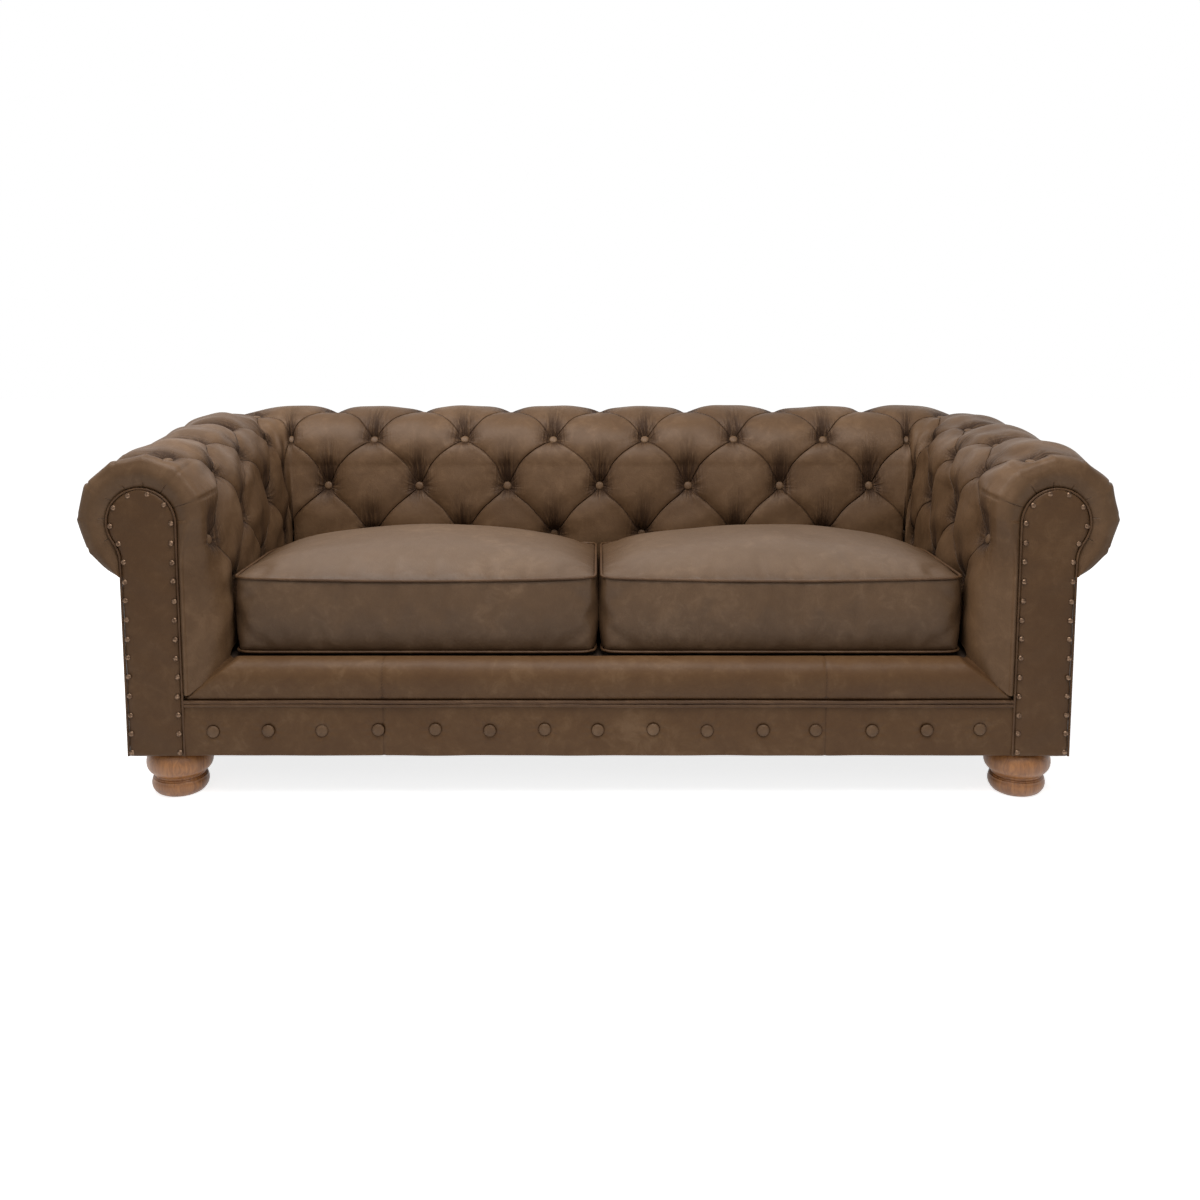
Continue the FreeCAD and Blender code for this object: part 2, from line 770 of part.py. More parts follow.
# Webbing under the seat and behind the arm and back foam
LONG_STRAP_PLACES = (-350.0, -230.0, -50.0, 70.0, 190.0)
STRAP_END_INSET = 4.0
BACK_STRAPS = 12
ARM_STRAPS = 5
FIRST_ARM_STRAP = 0.4
strap_half = size("strap_width") / 2
long_straps = []
long_end = inside_x - STRAP_END_INSET
for index, middle in enumerate(LONG_STRAP_PLACES):
    long_straps.append(box("long_strap_%d" % index, (-long_end, middle - strap_half, rail_high + strap),
                           (long_end, middle + strap_half, rail_high + strap * 2)))
group("seat_webbing_long", long_straps)
cross_straps = []
cross_front = post_front + STRAP_END_INSET
cross_rear = inside_y - STRAP_END_INSET
for index in range(BACK_STRAPS + 1):
    middle = (index - BACK_STRAPS / 2) * size("webbing_pitch")
    cross_straps.append(box("cross_strap_%d" % index, (middle - strap_half, cross_front, rail_high),
                            (middle + strap_half, cross_rear, rail_high + strap)))
group("seat_webbing_cross", cross_straps)
side_straps = []
strap_low = stuffing_low + STRAP_END_INSET
strap_high = top_high - STRAP_END_INSET
for index in range(ARM_STRAPS):
    middle = post_rear + size("webbing_pitch") * (index + FIRST_ARM_STRAP)
    for word, side in (("left", -1), ("right", 1)):
        side_straps.append(side_box("%s_arm_strap_%d" % (word, index), side, centre_x - stuffing_near,
                                    centre_x - half_rail, middle - strap_half, middle + strap_half,
                                    strap_low, strap_high))
for index in range(BACK_STRAPS):
    middle = (index - (BACK_STRAPS - 1) / 2) * size("webbing_pitch")
    side_straps.append(box(
        "back_strap_%d" % index, (middle - strap_half, centre_y - stuffing_near, strap_low),
        (middle + strap_half, centre_y - half_rail, strap_high)))
group("arm_and_back_webbing", side_straps)

# Foot blocks with their holes, the bolts and the turned feet
foot_places = [(size("front_foot_x") * side, size("front_foot_y")) for side in (-1, 1)]
foot_places += [(size("rear_foot_x") * side, size("rear_foot_y")) for side in (-1, 1)]
block_half = size("foot_block_side") / 2
hole_radius = size("bolt_radius") + size("bolt_clearance")
bolt_low = size("bolt_low_z")
blocks = []
bolts = []
holes = []
for index, (x, y) in enumerate(foot_places):
    front = index < 2
    y_low = post_rear if front else y - block_half
    block = box("foot_block_%d" % index, (x - block_half, y_low, rail_low),
                (x + block_half, y_low + size("foot_block_side"), block_top))
    if not front:
        side = -1 if x.value < 0 else 1
        trim = drum("block_trim_%d" % index, ring_outer - thick - FIT, back_x * side, arm_y,
                    rail_low, block_top)
        shaped = doc.addObject("Part::Common", "block_shaped_%d" % index)
        shaped.Base = block
        shaped.Tool = trim
        block = shaped
    hole = peg("bolt_hole_%d" % index, hole_radius, x, y, bolt_low - FIT, size("bolt_high_z") + FIT)
    holes.append(hole)
    blocks.append(cut("foot_block_drilled_%d" % index, block, hole))
    bolts.append(peg("hanger_bolt_%d" % index, size("bolt_radius"), x, y, bolt_low, size("bolt_high_z")))
group("foot_blocks", blocks)
group("hanger_bolts", bolts)
bolt_rooms = doc.addObject("Part::Compound", "bolt_rooms")
bolt_rooms.Links = holes

foot_body = doc.addObject("PartDesign::Body", "bun_foot")
foot_sketch = new_sketch(foot_body, "bun_foot_profile", "XZ_Plane")
tread = size("foot_tread_radius")
ring = size("foot_ring_radius")
waist = size("foot_waist_radius")
bun = size("foot_bun_radius")
bun_z = size("foot_bun_z")
bun_half = size("foot_bun_half_height")
shoulder = bun - size("foot_bun_rounding")
outline(foot_sketch, [
    (0, 0), (tread, 0), (ring, size("foot_ring_z")), (waist, size("foot_waist_z")),
    (shoulder, bun_z - bun_half), (bun, bun_z), (shoulder, bun_z + bun_half),
    (size("foot_top_radius"), size("foot_height")), (0, size("foot_height"))], {})
turned = foot_body.newObject("PartDesign::Revolution", "bun_foot_turned")
turned.Profile = foot_sketch
turned.ReferenceAxis = (foot_sketch, ["V_Axis"])
turned.Angle = 360
foot_sketch.Visibility = False
doc.recompute()


def foot_copies(places):
    copies = []
    for x, y in places:
        copy = foot_body.Shape.copy()
        copy.translate(Vector(x.value, y.value, 0))
        copies.append(copy.cut(bolt_rooms.Shape))
    return Part.makeCompound(copies)


feature("front_feet", foot_copies(foot_places[:2]))
feature("rear_feet", foot_copies(foot_places[2:]))

# The cloth lining under the base
lining_x = outer_x - size("lining_inset")
lining_y = outer_y - size("lining_inset")
lining_bend = bend + size("outer_face_offset") - size("lining_inset")
lining_front = post_front + size("lining_inset")
lining_body = doc.addObject("PartDesign::Body", "lining_sheet")
lining_sketch = new_sketch(lining_body, "lining_outline", "XY_Plane")
outline(lining_sketch, [
    (-lining_x, lining_front), (lining_x, lining_front), (lining_x, arm_y), (back_x, lining_y),
    (-back_x, lining_y), (-lining_x, arm_y)], {2: (lining_bend, -1), 4: (lining_bend, -1)})
lining_pad = lining_body.newObject("PartDesign::Pad", "lining_pad")
lining_pad.Profile = lining_sketch
lining_pad.setExpression("Length", (rail_low - size("body_bottom_z")).text)
lining_sketch.setExpression(".AttachmentOffset.Base.z", size("body_bottom_z").text)
keep(cut("bottom_lining", lining_body, bolt_rooms), "bottom_lining")

# Foam
BACK_STATIONS = [-STRAIGHT_BACK, STRAIGHT_BACK]
room_back, room_corner, room_arm = [
    foam(stations, val("foam_gap")) for stations in (BACK_STATIONS, CORNER_STATIONS, ARM_STATIONS)]
timber = nodes["uprights"].Shape
FOAM = (("back_foam", BACK_STATIONS, False),
        ("arm_foam", ARM_STATIONS, True),
        ("corner_foam", CORNER_STATIONS, True))
for label, stations, paired in FOAM:
    shape = foam(stations, 0.0).cut(rail_tunnel(stations) + [timber])
    if paired:
        feature("left_" + label, shape)
        feature("right_" + label, mirrored(shape))
    else:
        feature(label, shape)

deck_low = rail_high + strap * 2
deck_cloth_low = size("deck_top_z") - size("deck_cloth_thickness")
deck_x = centre_x - stuffing_far - DECK_PLAY
deck_rear = centre_y - stuffing_far - DECK_PLAY
deck_block = box("deck_block", (-deck_x, size("edge_rear_y"), deck_low),
                 (deck_x, deck_rear, deck_cloth_low))
keep(cut("deck_foam", deck_block, nodes["uprights"]), "deck_foam")
cloth_block = box("cloth_block", (-deck_x, size("edge_rear_y"), deck_cloth_low),
                  (deck_x, deck_rear, size("deck_top_z")))
keep(cut("deck_cloth", cloth_block, nodes["uprights"]), "deck_cloth")

# The padded front edge, the border under it and the double welt between them
edge_front = post_front - size("edge_stand_out")
edge_rear = size("edge_rear_y")
edge_top = size("edge_top_z")
edge_face = size("edge_face_radius")
padded_out("front_edge_roll", [
    (post_front, deck_low), (edge_rear, deck_low), (edge_rear, size("deck_top_z") + size("edge_rear_rise")),
    (edge_front + size("edge_top_run"), edge_top),
    (edge_front - size("edge_nose_swell"), edge_top - size("edge_nose_drop")),
    (edge_front, size("border_welt_top_z")), (post_front, size("border_welt_top_z"))],
    {2: (edge_face, -1), 3: (size("edge_nose_radius"), -1), 4: (edge_face, -1)},
    "YZ_Plane", seat_half * 2, -seat_half)
board("front_border", (-seat_half, post_front - size("border_thickness"), size("body_bottom_z")),
      (seat_half, post_front, size("border_top_z")))
welt_front = post_front - size("border_thickness") + size("border_welt_inset")
welt_round = size("border_welt_radius")
welt_middle = (size("border_top_z") + size("border_welt_top_z")) / 2
padded_out("border_welt", [
    (post_front, size("border_top_z")), (post_front, size("border_welt_top_z")),
    (welt_front, size("border_welt_top_z")), (welt_front, welt_middle), (welt_front, size("border_top_z"))],
    {2: (welt_round, -1), 3: (welt_round, -1)}, "YZ_Plane", seat_half * 2, -seat_half)

# Arm facings with a welt round them
for word, side in (("left", -1), ("right", 1)):
    welt = size("welt_width")
    corners, arcs = facing_corners(welt + FIT, side, size("body_bottom_z") + welt + FIT)
    padded_out(word + "_facing", corners, arcs, "XZ_Plane", size("facing_thickness"), -post_front)
    body = doc.addObject("PartDesign::Body", word + "_facing_welt")
    sketch = new_sketch(body, word + "_welt_outline", "XZ_Plane")
    corners, arcs = facing_corners(as_size(0), side, size("body_bottom_z"))
    outline(sketch, corners, arcs)
    corners, arcs = facing_corners(welt, side, size("body_bottom_z") + welt)
    outline(sketch, corners, arcs)
    sketch.setExpression(".AttachmentOffset.Base.z", (-post_front).text)
    pad = body.newObject("PartDesign::Pad", word + "_welt_pad")
    pad.Profile = sketch
    pad.setExpression("Length", (size("facing_thickness") + size("welt_stand_out")).text)
    keep(body, word + "_facing_welt")

# Outside panels
for piece in both_sides("outside_panel", lambda name, side: side_box(
        name, side, inside_x, outer_x, post_front, arm_y, size("body_bottom_z"), panel_top)):
    keep(piece, piece.Name)
outer_bend = bend + size("outer_face_offset")
padded_out("outside_back_panel", [
    (outer_x, arm_y), (back_x, outer_y), (-back_x, outer_y), (-outer_x, arm_y),
    (-inside_x, arm_y), (-back_x, inside_y), (back_x, inside_y), (inside_x, arm_y)],
    {0: (outer_bend, -1), 2: (outer_bend, -1), 4: (ring_outer, 1), 6: (ring_outer, 1)},
    "XY_Plane", panel_top - size("body_bottom_z"), size("body_bottom_z"))

# Covered buttons
def studs(centre, outward, across, rings, sides):
    """A many-sided stud from its base or tip out; rings are radius and height, radius 0 is a tip."""
    up = outward.cross(across)
    sections = []
    for radius, height in rings:
        corners = []
        for step in range(sides if radius > 0 else 1):
            angle = 2 * math.pi * step / sides
            corners.append(centre + outward * height + across * radius * math.cos(angle)
                           + up * radius * math.sin(angle))
        sections.append(corners)
    return skinned(sections)


def tuft_button(along, row, swell):
    """A covered button on its tapered shank, pulled into the dimple; swell is the room left round it."""
    point = tufted_point(along, row)
    ahead = tufted_point(along, row + 0.02) - tufted_point(along, row - 0.02)
    side = place(along + 1, 0, 0) - place(along - 1, 0, 0)
    side.normalize()
    outward = side.cross(ahead)
    outward.normalize()
    if outward.dot(point - place(along, 0, val("roll_centre_z"))) < 0:
        outward = -outward
    radius = val("button_radius") + swell
    height = val("button_height")
    return studs(point, outward, side, [
        (0.0, FIT - swell), (radius, height * BUTTON_SHOULDER - swell),
        (radius * BUTTON_FACE, height + swell)], BUTTON_SIDES)


def buttons_between(first, last, swell=0.0):
    """Every button with its station from first to last, counted in half pitches along the centre line."""
    made = []
    for half_step in range(first, last + 1):
        rows = (0, 2) if half_step % 2 == 0 else (1, 3)
        made += [tuft_button(half_step * val("tuft_pitch") / 2, row, swell) for row in rows]
    return made


feature("back_buttons", Part.makeCompound(buttons_between(-8, 8)))
arm_buttons = Part.makeCompound(buttons_between(9, 14))
feature("left_arm_buttons", arm_buttons)
feature("right_arm_buttons", mirrored(arm_buttons))
BORDER_BUTTONS = 15
border_face = (post_front - size("border_thickness")).value
border_studs = []
for index in range(BORDER_BUTTONS):
    across = (index - BORDER_BUTTONS // 2) * val("border_button_pitch")
    spot = Vector(across, border_face, val("border_button_z"))
    border_studs.append(studs(spot, Vector(0, -1, 0), Vector(1, 0, 0), [
        (val("button_radius"), 0.0),
        (val("button_radius") * BUTTON_FACE, val("border_button_height"))], BUTTON_SIDES))
feature("border_buttons", Part.makeCompound(border_studs))

# Tufted covers, hollowed for the foam and cut round the facing; in the tight corners the diamonds crowd the
# buttons, so those stand in pockets
rooms = [room_back, room_corner, room_arm]
back_cover = tufted_solid([COLUMN * step for step in range(-BACK_COLUMNS, BACK_COLUMNS + 1)])
feature("back_cover", back_cover.cut(rooms + [mirrored(room_corner)]))
corner_cover = tufted_solid([COLUMN * step for step in range(BACK_COLUMNS, CORNER_COLUMNS + 1)])
corner_cover = corner_cover.cut(rooms + buttons_between(7, 9, FIT))
feature("left_corner_cover", corner_cover)
feature("right_corner_cover", mirrored(corner_cover))
arm_columns = [COLUMN * step for step in range(CORNER_COLUMNS, ARM_COLUMNS + 1)]
arm_columns += [ARM_FRONT - COVER_LIP, ARM_FRONT]
corners, arcs = facing_corners(as_size(-FIT), -1, size("body_bottom_z"))
facing_room = outline_face(corners, arcs, POST_REAR_Y).extrude(Vector(0, -FACING_ROOM, 0))
arm_cover = tufted_solid(arm_columns).cut(rooms + [facing_room])
feature("left_arm_cover", arm_cover)
feature("right_arm_cover", mirrored(arm_cover))


def nail_places():
    """Points along the facing's outline, drawn in by the nail inset, on the right side."""
    corners, arcs = facing_corners(size("nail_inset"), 1, size("body_bottom_z") + size("nail_inset"))
    path = outline_face(corners, arcs, val("front_plane_y")).OuterWire
    bottom = val("body_bottom_z") + val("nail_inset")
    wire = Part.Wire(Part.__sortEdges__([edge for edge in path.Edges if edge.BoundBox.ZMax > bottom + FIT]))
    count = int(wire.Length / val("nail_pitch")) + 1
    return wire.discretize(Number=count)


nails = Part.makeCompound([studs(spot, Vector(0, 1, 0), Vector(1, 0, 0), [
    (0.0, -val("nail_height")), (val("nail_radius"), 0.0)], NAIL_SIDES) for spot in nail_places()])
feature("nail_heads", Part.makeCompound([mirrored(nails), nails]))


# Loose cushions
CORNER_TIGHTENS = 0.2
LEAST_CORNER = 12.0


def cushion_ring(side, z, inset, bow, tilted):
    """Points round a cushion at one level: sides bowed out, round corners, tipped back by a share."""
    low_x = val("cushion_inner_x") + inset
    high_x = val("cushion_outer_x") - inset
    low_y = val("cushion_front_y") + inset
    high_y = val("cushion_rear_y") - inset
    radius = max(val("cushion_corner_radius") - inset * CORNER_TIGHTENS, LEAST_CORNER)
    middle = Vector((low_x + high_x) / 2, (low_y + high_y) / 2, z)
    hinge = Vector(0, val("cushion_front_y"), z)
    tip = FreeCAD.Rotation(Vector(1, 0, 0), -val("cushion_pitch_angle") * tilted)
    points = []
    for out, reach, across in ((Vector(1, 0, 0), high_x - low_x, high_y - low_y),
                               (Vector(0, 1, 0), high_y - low_y, high_x - low_x),
                               (Vector(-1, 0, 0), high_x - low_x, high_y - low_y),
                               (Vector(0, -1, 0), high_y - low_y, high_x - low_x)):
        run = Vector(-out.y, out.x, 0)
        length = across / 2 - radius
        for share in (-1, 0, 1):
            points.append(middle + out * (reach / 2 + bow * (1 - share * share)) + run * length * share)
        centre = middle + out * (reach / 2 - radius) + run * length
        for turn in (math.radians(30), math.radians(60)):
            points.append(centre + (out * math.cos(turn) + run * math.sin(turn)) * radius)
    points = [tip.multVec(point - hinge) + hinge for point in points]
    return [Vector(point.x * side, point.y, point.z) for point in points]


def cushion_form(side, levels):
    return skinned([cushion_ring(side, *level) for level in levels])


def piping(side, z, tilted):
    """A welt round a seam: a ridge outside, hollow inside."""
    half = val("piping_width") / 2
    inset = SEAM_INSET - FIT
    ridge = cushion_form(side, [
        (z - half, half, 0.0, tilted), (z, 0.0, 0.0, tilted), (z + half, half, 0.0, tilted)])
    return ridge.cut(cushion_form(side, [
        (z - half - 1, inset, 0.0, tilted), (z + half + 1, inset, 0.0, tilted)]))


# Each level of a cushion: height, inset from its outline, bow of its sides and share of the backward tip
lower = val("lower_seam_z")
upper = val("upper_seam_z")
bottom = val("cushion_bottom_z")
band = val("piping_width") / 2 + 1.5
OUTSIDE = [
    (bottom, 46.0, 0.5, 0.0), (bottom + 4, 20.0, 1.0, 0.0), (lower - band, SEAM_INSET, 0.0, 0.0),
    (lower + band, SEAM_INSET, 0.0, 0.0), (lower + 42, 2.5, 2.0, 0.25), (upper - 48, 2.5, 2.0, 0.75),
    (upper - band, SEAM_INSET, 0.0, 1.0), (upper + band, SEAM_INSET, 0.0, 1.0),
    (upper + 16, 26.0, 3.0, 1.0), (upper + 30, 80.0, 4.0, 1.0), (upper + 40, 160.0, 5.0, 1.0),
    (val("cushion_crown_z"), 225.0, 5.0, 1.0)]
HOLLOW = [
    (bottom + 3, 46.0, 0.5, 0.0), (lower + 2, 10.0, 0.0, 0.0), (upper - 2, 10.0, 0.0, 1.0),
    (upper + 12, 30.0, 2.0, 1.0), (upper + 26, 84.0, 3.0, 1.0), (upper + 37, 170.0, 4.0, 1.0)]
FOAM_PLAY = 0.9
filling = [(z, inset + FOAM_PLAY, bow, tilt) for z, inset, bow, tilt in HOLLOW]
filling[0] = (HOLLOW[0][0] + FOAM_PLAY,) + filling[0][1:]
filling[-1] = (HOLLOW[-1][0] - FOAM_PLAY,) + filling[-1][1:]

# The zip runs along the middle of the rear band; its slider starts near one end
ZIP_BEHIND = 8.0
ZIP_SLOT = (20.0, 10.0)
SLIDER_START = 20.0
SLIDER_WIDTH = 9.0
NECK_HALF = 1.2
NECK_REACH = 4.0
PLATE = (0.6, 3.1)
PLATE_HALF = 4.0
PULL_WIDTH = 5.0
PULL_REAR = 4.3
PULL_DROP = 22.0
PULL_RISE = 2.0
zip_middle = (val("cushion_inner_x") + val("cushion_outer_x")) / 2
zip_half = val("zip_length") / 2
zip_z = val("zip_z")
zip_low = zip_z - val("zip_height") / 2
rear = val("cushion_rear_y")
tape_y = rear - ZIP_BEHIND


def block_at(low, high):
    return Part.makeBox(high[0] - low[0], high[1] - low[1], high[2] - low[2], Vector(*low))


for word, side in (("left", -1), ("right", 1)):
    zip_start = side * zip_middle - zip_half
    zip_end = side * zip_middle + zip_half
    slot = block_at((zip_start, rear - ZIP_SLOT[0], zip_low),
                    (zip_end, rear + ZIP_SLOT[1], zip_low + val("zip_height")))
    feature(word + "_cushion_case", cushion_form(side, OUTSIDE).cut([cushion_form(side, HOLLOW), slot]))
    feature(word + "_cushion_foam", cushion_form(side, filling))
    seams = [piping(side, lower, 0.0), piping(side, upper, 1.0)]
    feature(word + "_cushion_piping", Part.makeCompound(seams))
    feature(word + "_cushion_zip", block_at(
        (zip_start, tape_y, zip_low), (zip_end, tape_y + ZIP_TAPE, zip_low + val("zip_height"))))
    start = zip_end - SLIDER_START
    end = start + SLIDER_WIDTH
    neck = block_at((start, tape_y + ZIP_TAPE + FIT, zip_z - NECK_HALF),
                    (end, rear + NECK_REACH, zip_z + NECK_HALF))
    plate = block_at((start, rear + PLATE[0], zip_z - PLATE_HALF),
                     (end, rear + PLATE[1], zip_z + PLATE_HALF))
    pull_start = start + (SLIDER_WIDTH - PULL_WIDTH) / 2
    pull = block_at((pull_start, rear + PLATE[1], zip_z - PULL_DROP),
                    (pull_start + PULL_WIDTH, rear + PULL_REAR, zip_z + PULL_RISE))
    feature(word + "_zip_slider", neck.fuse([plate, pull]).removeSplitter())

doc.recompute()
for thing in doc.Objects:
    if "Invalid" in thing.State or "Error" in thing.State:
        raise RuntimeError("%s did not build" % thing.Label)
os.makedirs("parts", exist_ok=True)
for label in sorted(nodes):
    shape = nodes[label].Shape
    if shape.isNull() or not shape.isValid() or not shape.Solids:
        raise RuntimeError("%s has no valid solid" % label)
    shape.exportStep("parts/%s.step" % label)
print("%d sub-parts written" % len(nodes))
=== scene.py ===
import json
import logging
import math
from contextlib import contextmanager
from dataclasses import dataclass, field
from enum import Enum
from typing import Iterator, Optional, Sequence, Union

import bpy
import numpy as np
from mathutils import Matrix, Vector

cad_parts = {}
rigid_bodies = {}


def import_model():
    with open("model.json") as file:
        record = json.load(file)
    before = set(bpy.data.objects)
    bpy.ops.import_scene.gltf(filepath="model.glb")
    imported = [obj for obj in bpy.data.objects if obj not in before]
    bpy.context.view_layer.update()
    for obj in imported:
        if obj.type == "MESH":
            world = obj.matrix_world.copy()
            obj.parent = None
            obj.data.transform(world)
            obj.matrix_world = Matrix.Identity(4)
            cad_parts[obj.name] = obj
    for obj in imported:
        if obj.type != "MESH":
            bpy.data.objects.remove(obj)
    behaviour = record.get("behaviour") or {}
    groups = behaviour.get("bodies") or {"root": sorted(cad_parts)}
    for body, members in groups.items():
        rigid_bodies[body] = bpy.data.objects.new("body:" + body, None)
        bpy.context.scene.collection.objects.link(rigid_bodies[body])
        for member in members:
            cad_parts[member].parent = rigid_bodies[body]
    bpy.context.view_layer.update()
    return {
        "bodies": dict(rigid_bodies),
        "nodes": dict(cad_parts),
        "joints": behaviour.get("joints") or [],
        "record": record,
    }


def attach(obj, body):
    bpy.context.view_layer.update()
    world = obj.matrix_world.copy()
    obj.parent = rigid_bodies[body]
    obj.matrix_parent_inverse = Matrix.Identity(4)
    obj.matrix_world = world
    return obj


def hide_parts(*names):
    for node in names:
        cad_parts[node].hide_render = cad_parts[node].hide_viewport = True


# A two-seat chesterfield sofa in waxed brown leather. Metres, +Z up, the front faces -Y.

Number = Union[float, "Value"]
Colour = tuple[float, float, float]
Tint = Union[Colour, bpy.types.NodeSocket]
Point = tuple[float, float, float]
Array = np.ndarray

log = logging.getLogger("chesterfield")
FRAME_BODY = "sofa_frame"
SIDES = (("left", -1), ("right", 1))
FOOT_PLACES = {"front_feet": (0.917, -0.406), "rear_feet": (0.900, 0.268)}


# Shaders

class Value:
    """One number in a material; arithmetic on it adds Math nodes."""

    def __init__(self, shade: "Shade", socket: bpy.types.NodeSocket) -> None:
        """Wraps an output socket of the given shade."""
        self.shade = shade
        self.socket = socket

    def __add__(self, other: Number) -> "Value":
        """Adds a number or value."""
        return self.shade.math("ADD", self, other)

    def __radd__(self, other: Number) -> "Value":
        """Adds to a number."""
        return self.shade.math("ADD", other, self)

    def __sub__(self, other: Number) -> "Value":
        """Takes a number or value away."""
        return self.shade.math("SUBTRACT", self, other)

    def __rsub__(self, other: Number) -> "Value":
        """Is taken away from a number."""
        return self.shade.math("SUBTRACT", other, self)

    def __mul__(self, other: Number) -> "Value":
        """Multiplies by a number or value."""
        return self.shade.math("MULTIPLY", self, other)

    def __truediv__(self, other: Number) -> "Value":
        """Divides by a number or value."""
        return self.shade.math("DIVIDE", self, other)

    def to_nearest(self) -> "Value":
        """The nearest whole number."""
        return self.shade.math("ROUND", self)

    def size(self) -> "Value":
        """The value without its sign."""
        return self.shade.math("ABSOLUTE", self)

    def fading(self, reach: Number) -> "Value":
        """1 where the value is 0, falling smoothly to 0 beyond the reach."""
        share = self / reach
        return self.shade.math("EXPONENT", 0.0 - share * share)

    def between(self, low: float, high: float) -> "Value":
        """0 below low, 1 above high, smooth in between."""
        node = self.shade.node("ShaderNodeMapRange", {"interpolation_type": "SMOOTHSTEP"},
                               {"Value": self, "From Min": low, "From Max": high})
        return Value(self.shade, node.outputs["Result"])


class Shade:
    """A material or a backdrop being built from nodes."""

    def __init__(self, owner: Union[bpy.types.Material, bpy.types.World]) -> None:
        """Starts with an empty material or world."""
        self.owner = owner
        owner.use_nodes = True
        self.tree = owner.node_tree
        self.tree.nodes.clear()
        self.place = self.node("ShaderNodeTexCoord").outputs["Object"]

    def node(self, kind: str, settings: Optional[dict] = None,
             inputs: Optional[dict] = None) -> bpy.types.Node:
        """Adds a node, sets its options and then its sockets.

        Args:
            kind: the node's type name.
            settings: options by attribute name.
            inputs: numbers, values or sockets by socket name or index.

        Returns:
            The new node.
        """
        made = self.tree.nodes.new(kind)
        for key, option in (settings or {}).items():
            setattr(made, key, option)
        for key, given in (inputs or {}).items():
            if isinstance(given, Value):
                given = given.socket
            if isinstance(given, bpy.types.NodeSocket):
                self.tree.links.new(given, made.inputs[key])
            else:
                made.inputs[key].default_value = given
        return made

    def math(self, operation: str, *values: Number) -> Value:
        """One Math node on up to three numbers."""
        made = self.node("ShaderNodeMath", {"operation": operation}, dict(enumerate(values)))
        return Value(self, made.outputs[0])

    def attribute(self, name: str) -> Value:
        """A number stored on the mesh under a name."""
        return Value(self, self.node("ShaderNodeAttribute", {"attribute_name": name}).outputs["Fac"])

    def noise(self, scale: float, detail: float = 3.0, rough: float = 0.55, bend: float = 0.0,
              at: Optional[bpy.types.NodeSocket] = None) -> Value:
        """Cloudy noise from 0 to 1.

        Args:
            scale: patches per metre.
            detail: octaves.
            rough: weight of the finer octaves.
            bend: how far the pattern is distorted.
            at: the vector to read, the object's own coordinates by default.

        Returns:
            The noise as a value.
        """
        made = self.node("ShaderNodeTexNoise", {}, {
            "Vector": at or self.place, "Scale": scale, "Detail": detail, "Roughness": rough,
            "Distortion": bend})
        return Value(self, made.outputs["Fac"])

    def cells(self, scale: float) -> Value:
        """Distance in a cell pattern with the given number of cells per metre."""
        made = self.node("ShaderNodeTexVoronoi", {}, {"Vector": self.place, "Scale": scale})
        return Value(self, made.outputs["Distance"])

    def vector(self, x: Number, y: Number, z: Number) -> bpy.types.NodeSocket:
        """Three numbers as one vector."""
        return self.node("ShaderNodeCombineXYZ", {}, {"X": x, "Y": y, "Z": z}).outputs[0]

    def stretched(self, scale: Point) -> bpy.types.NodeSocket:
        """The object's coordinates scaled along each axis."""
        made = self.node("ShaderNodeMapping", {}, {"Vector": self.place, "Scale": scale})
        return made.outputs[0]

    def axis(self, index: int) -> Value:
        """One of the object's own coordinates: 0 is x, 1 is y and 2 is z."""
        return Value(self, self.node("ShaderNodeSeparateXYZ", {}, {0: self.place}).outputs[index])

    def tint(self, socket: bpy.types.NodeSocket, colour: Tint) -> None:
        """Gives a colour socket a linear colour or another socket's colour."""
        if isinstance(colour, bpy.types.NodeSocket):
            self.tree.links.new(colour, socket)
        else:
            socket.default_value = (*colour, 1.0)

    def mix(self, share: Number, first: Tint, second: Tint) -> bpy.types.NodeSocket:
        """A colour between two colours.

        Args:
            share: 0 gives the first colour, 1 the second.
            first: a linear colour or a colour socket.
            second: a linear colour or a colour socket.

        Returns:
            The mixed colour's socket.
        """
        made = self.node("ShaderNodeMix", {"data_type": "RGBA"}, {0: share})
        self.tint(made.inputs[6], first)
        self.tint(made.inputs[7], second)
        return made.outputs[2]

    def surface(self, colour: Tint, roughness: Number, height_mm: Value, metallic: float = 0.0,
                coat: float = 0.0, shine: float = 0.5) -> bpy.types.Material:
        """Finishes the material with one surface shader.

        Args:
            colour: linear base colour or its socket.
            roughness: a number or value.
            height_mm: relief in millimetres, as bump.
            metallic: 0 or 1.
            coat: weight of a clear coat.
            shine: strength of the plain reflection.

        Returns:
            The finished material.
        """
        bump = self.node("ShaderNodeBump", {}, {"Height": height_mm, "Distance": 0.001, "Strength": 1.0})
        shader = self.node("ShaderNodeBsdfPrincipled", {}, {
            "Roughness": roughness, "Metallic": metallic, "Coat Weight": coat, "Coat Roughness": 0.35,
            "Specular IOR Level": shine, "Normal": bump.outputs[0]})
        self.tint(shader.inputs["Base Color"], colour)
        self.node("ShaderNodeOutputMaterial", {}, {"Surface": shader.outputs[0]})
        return self.owner


def linear(red: int, green: int, blue: int) -> Colour:
    """A colour given as it looks on screen, from 0 to 255, in linear light."""
    def channel(level: int) -> float:
        """One channel in linear light."""
        share = level / 255
        return share / 12.92 if share <= 0.04045 else ((share + 0.055) / 1.055) ** 2.4
    return channel(red), channel(green), channel(blue)


class Relief(Enum):
    """What follows a leather surface besides its grain."""

    PLAIN = "plain"
    TUFTED = "tufted"
    PUCKERED = "puckered"


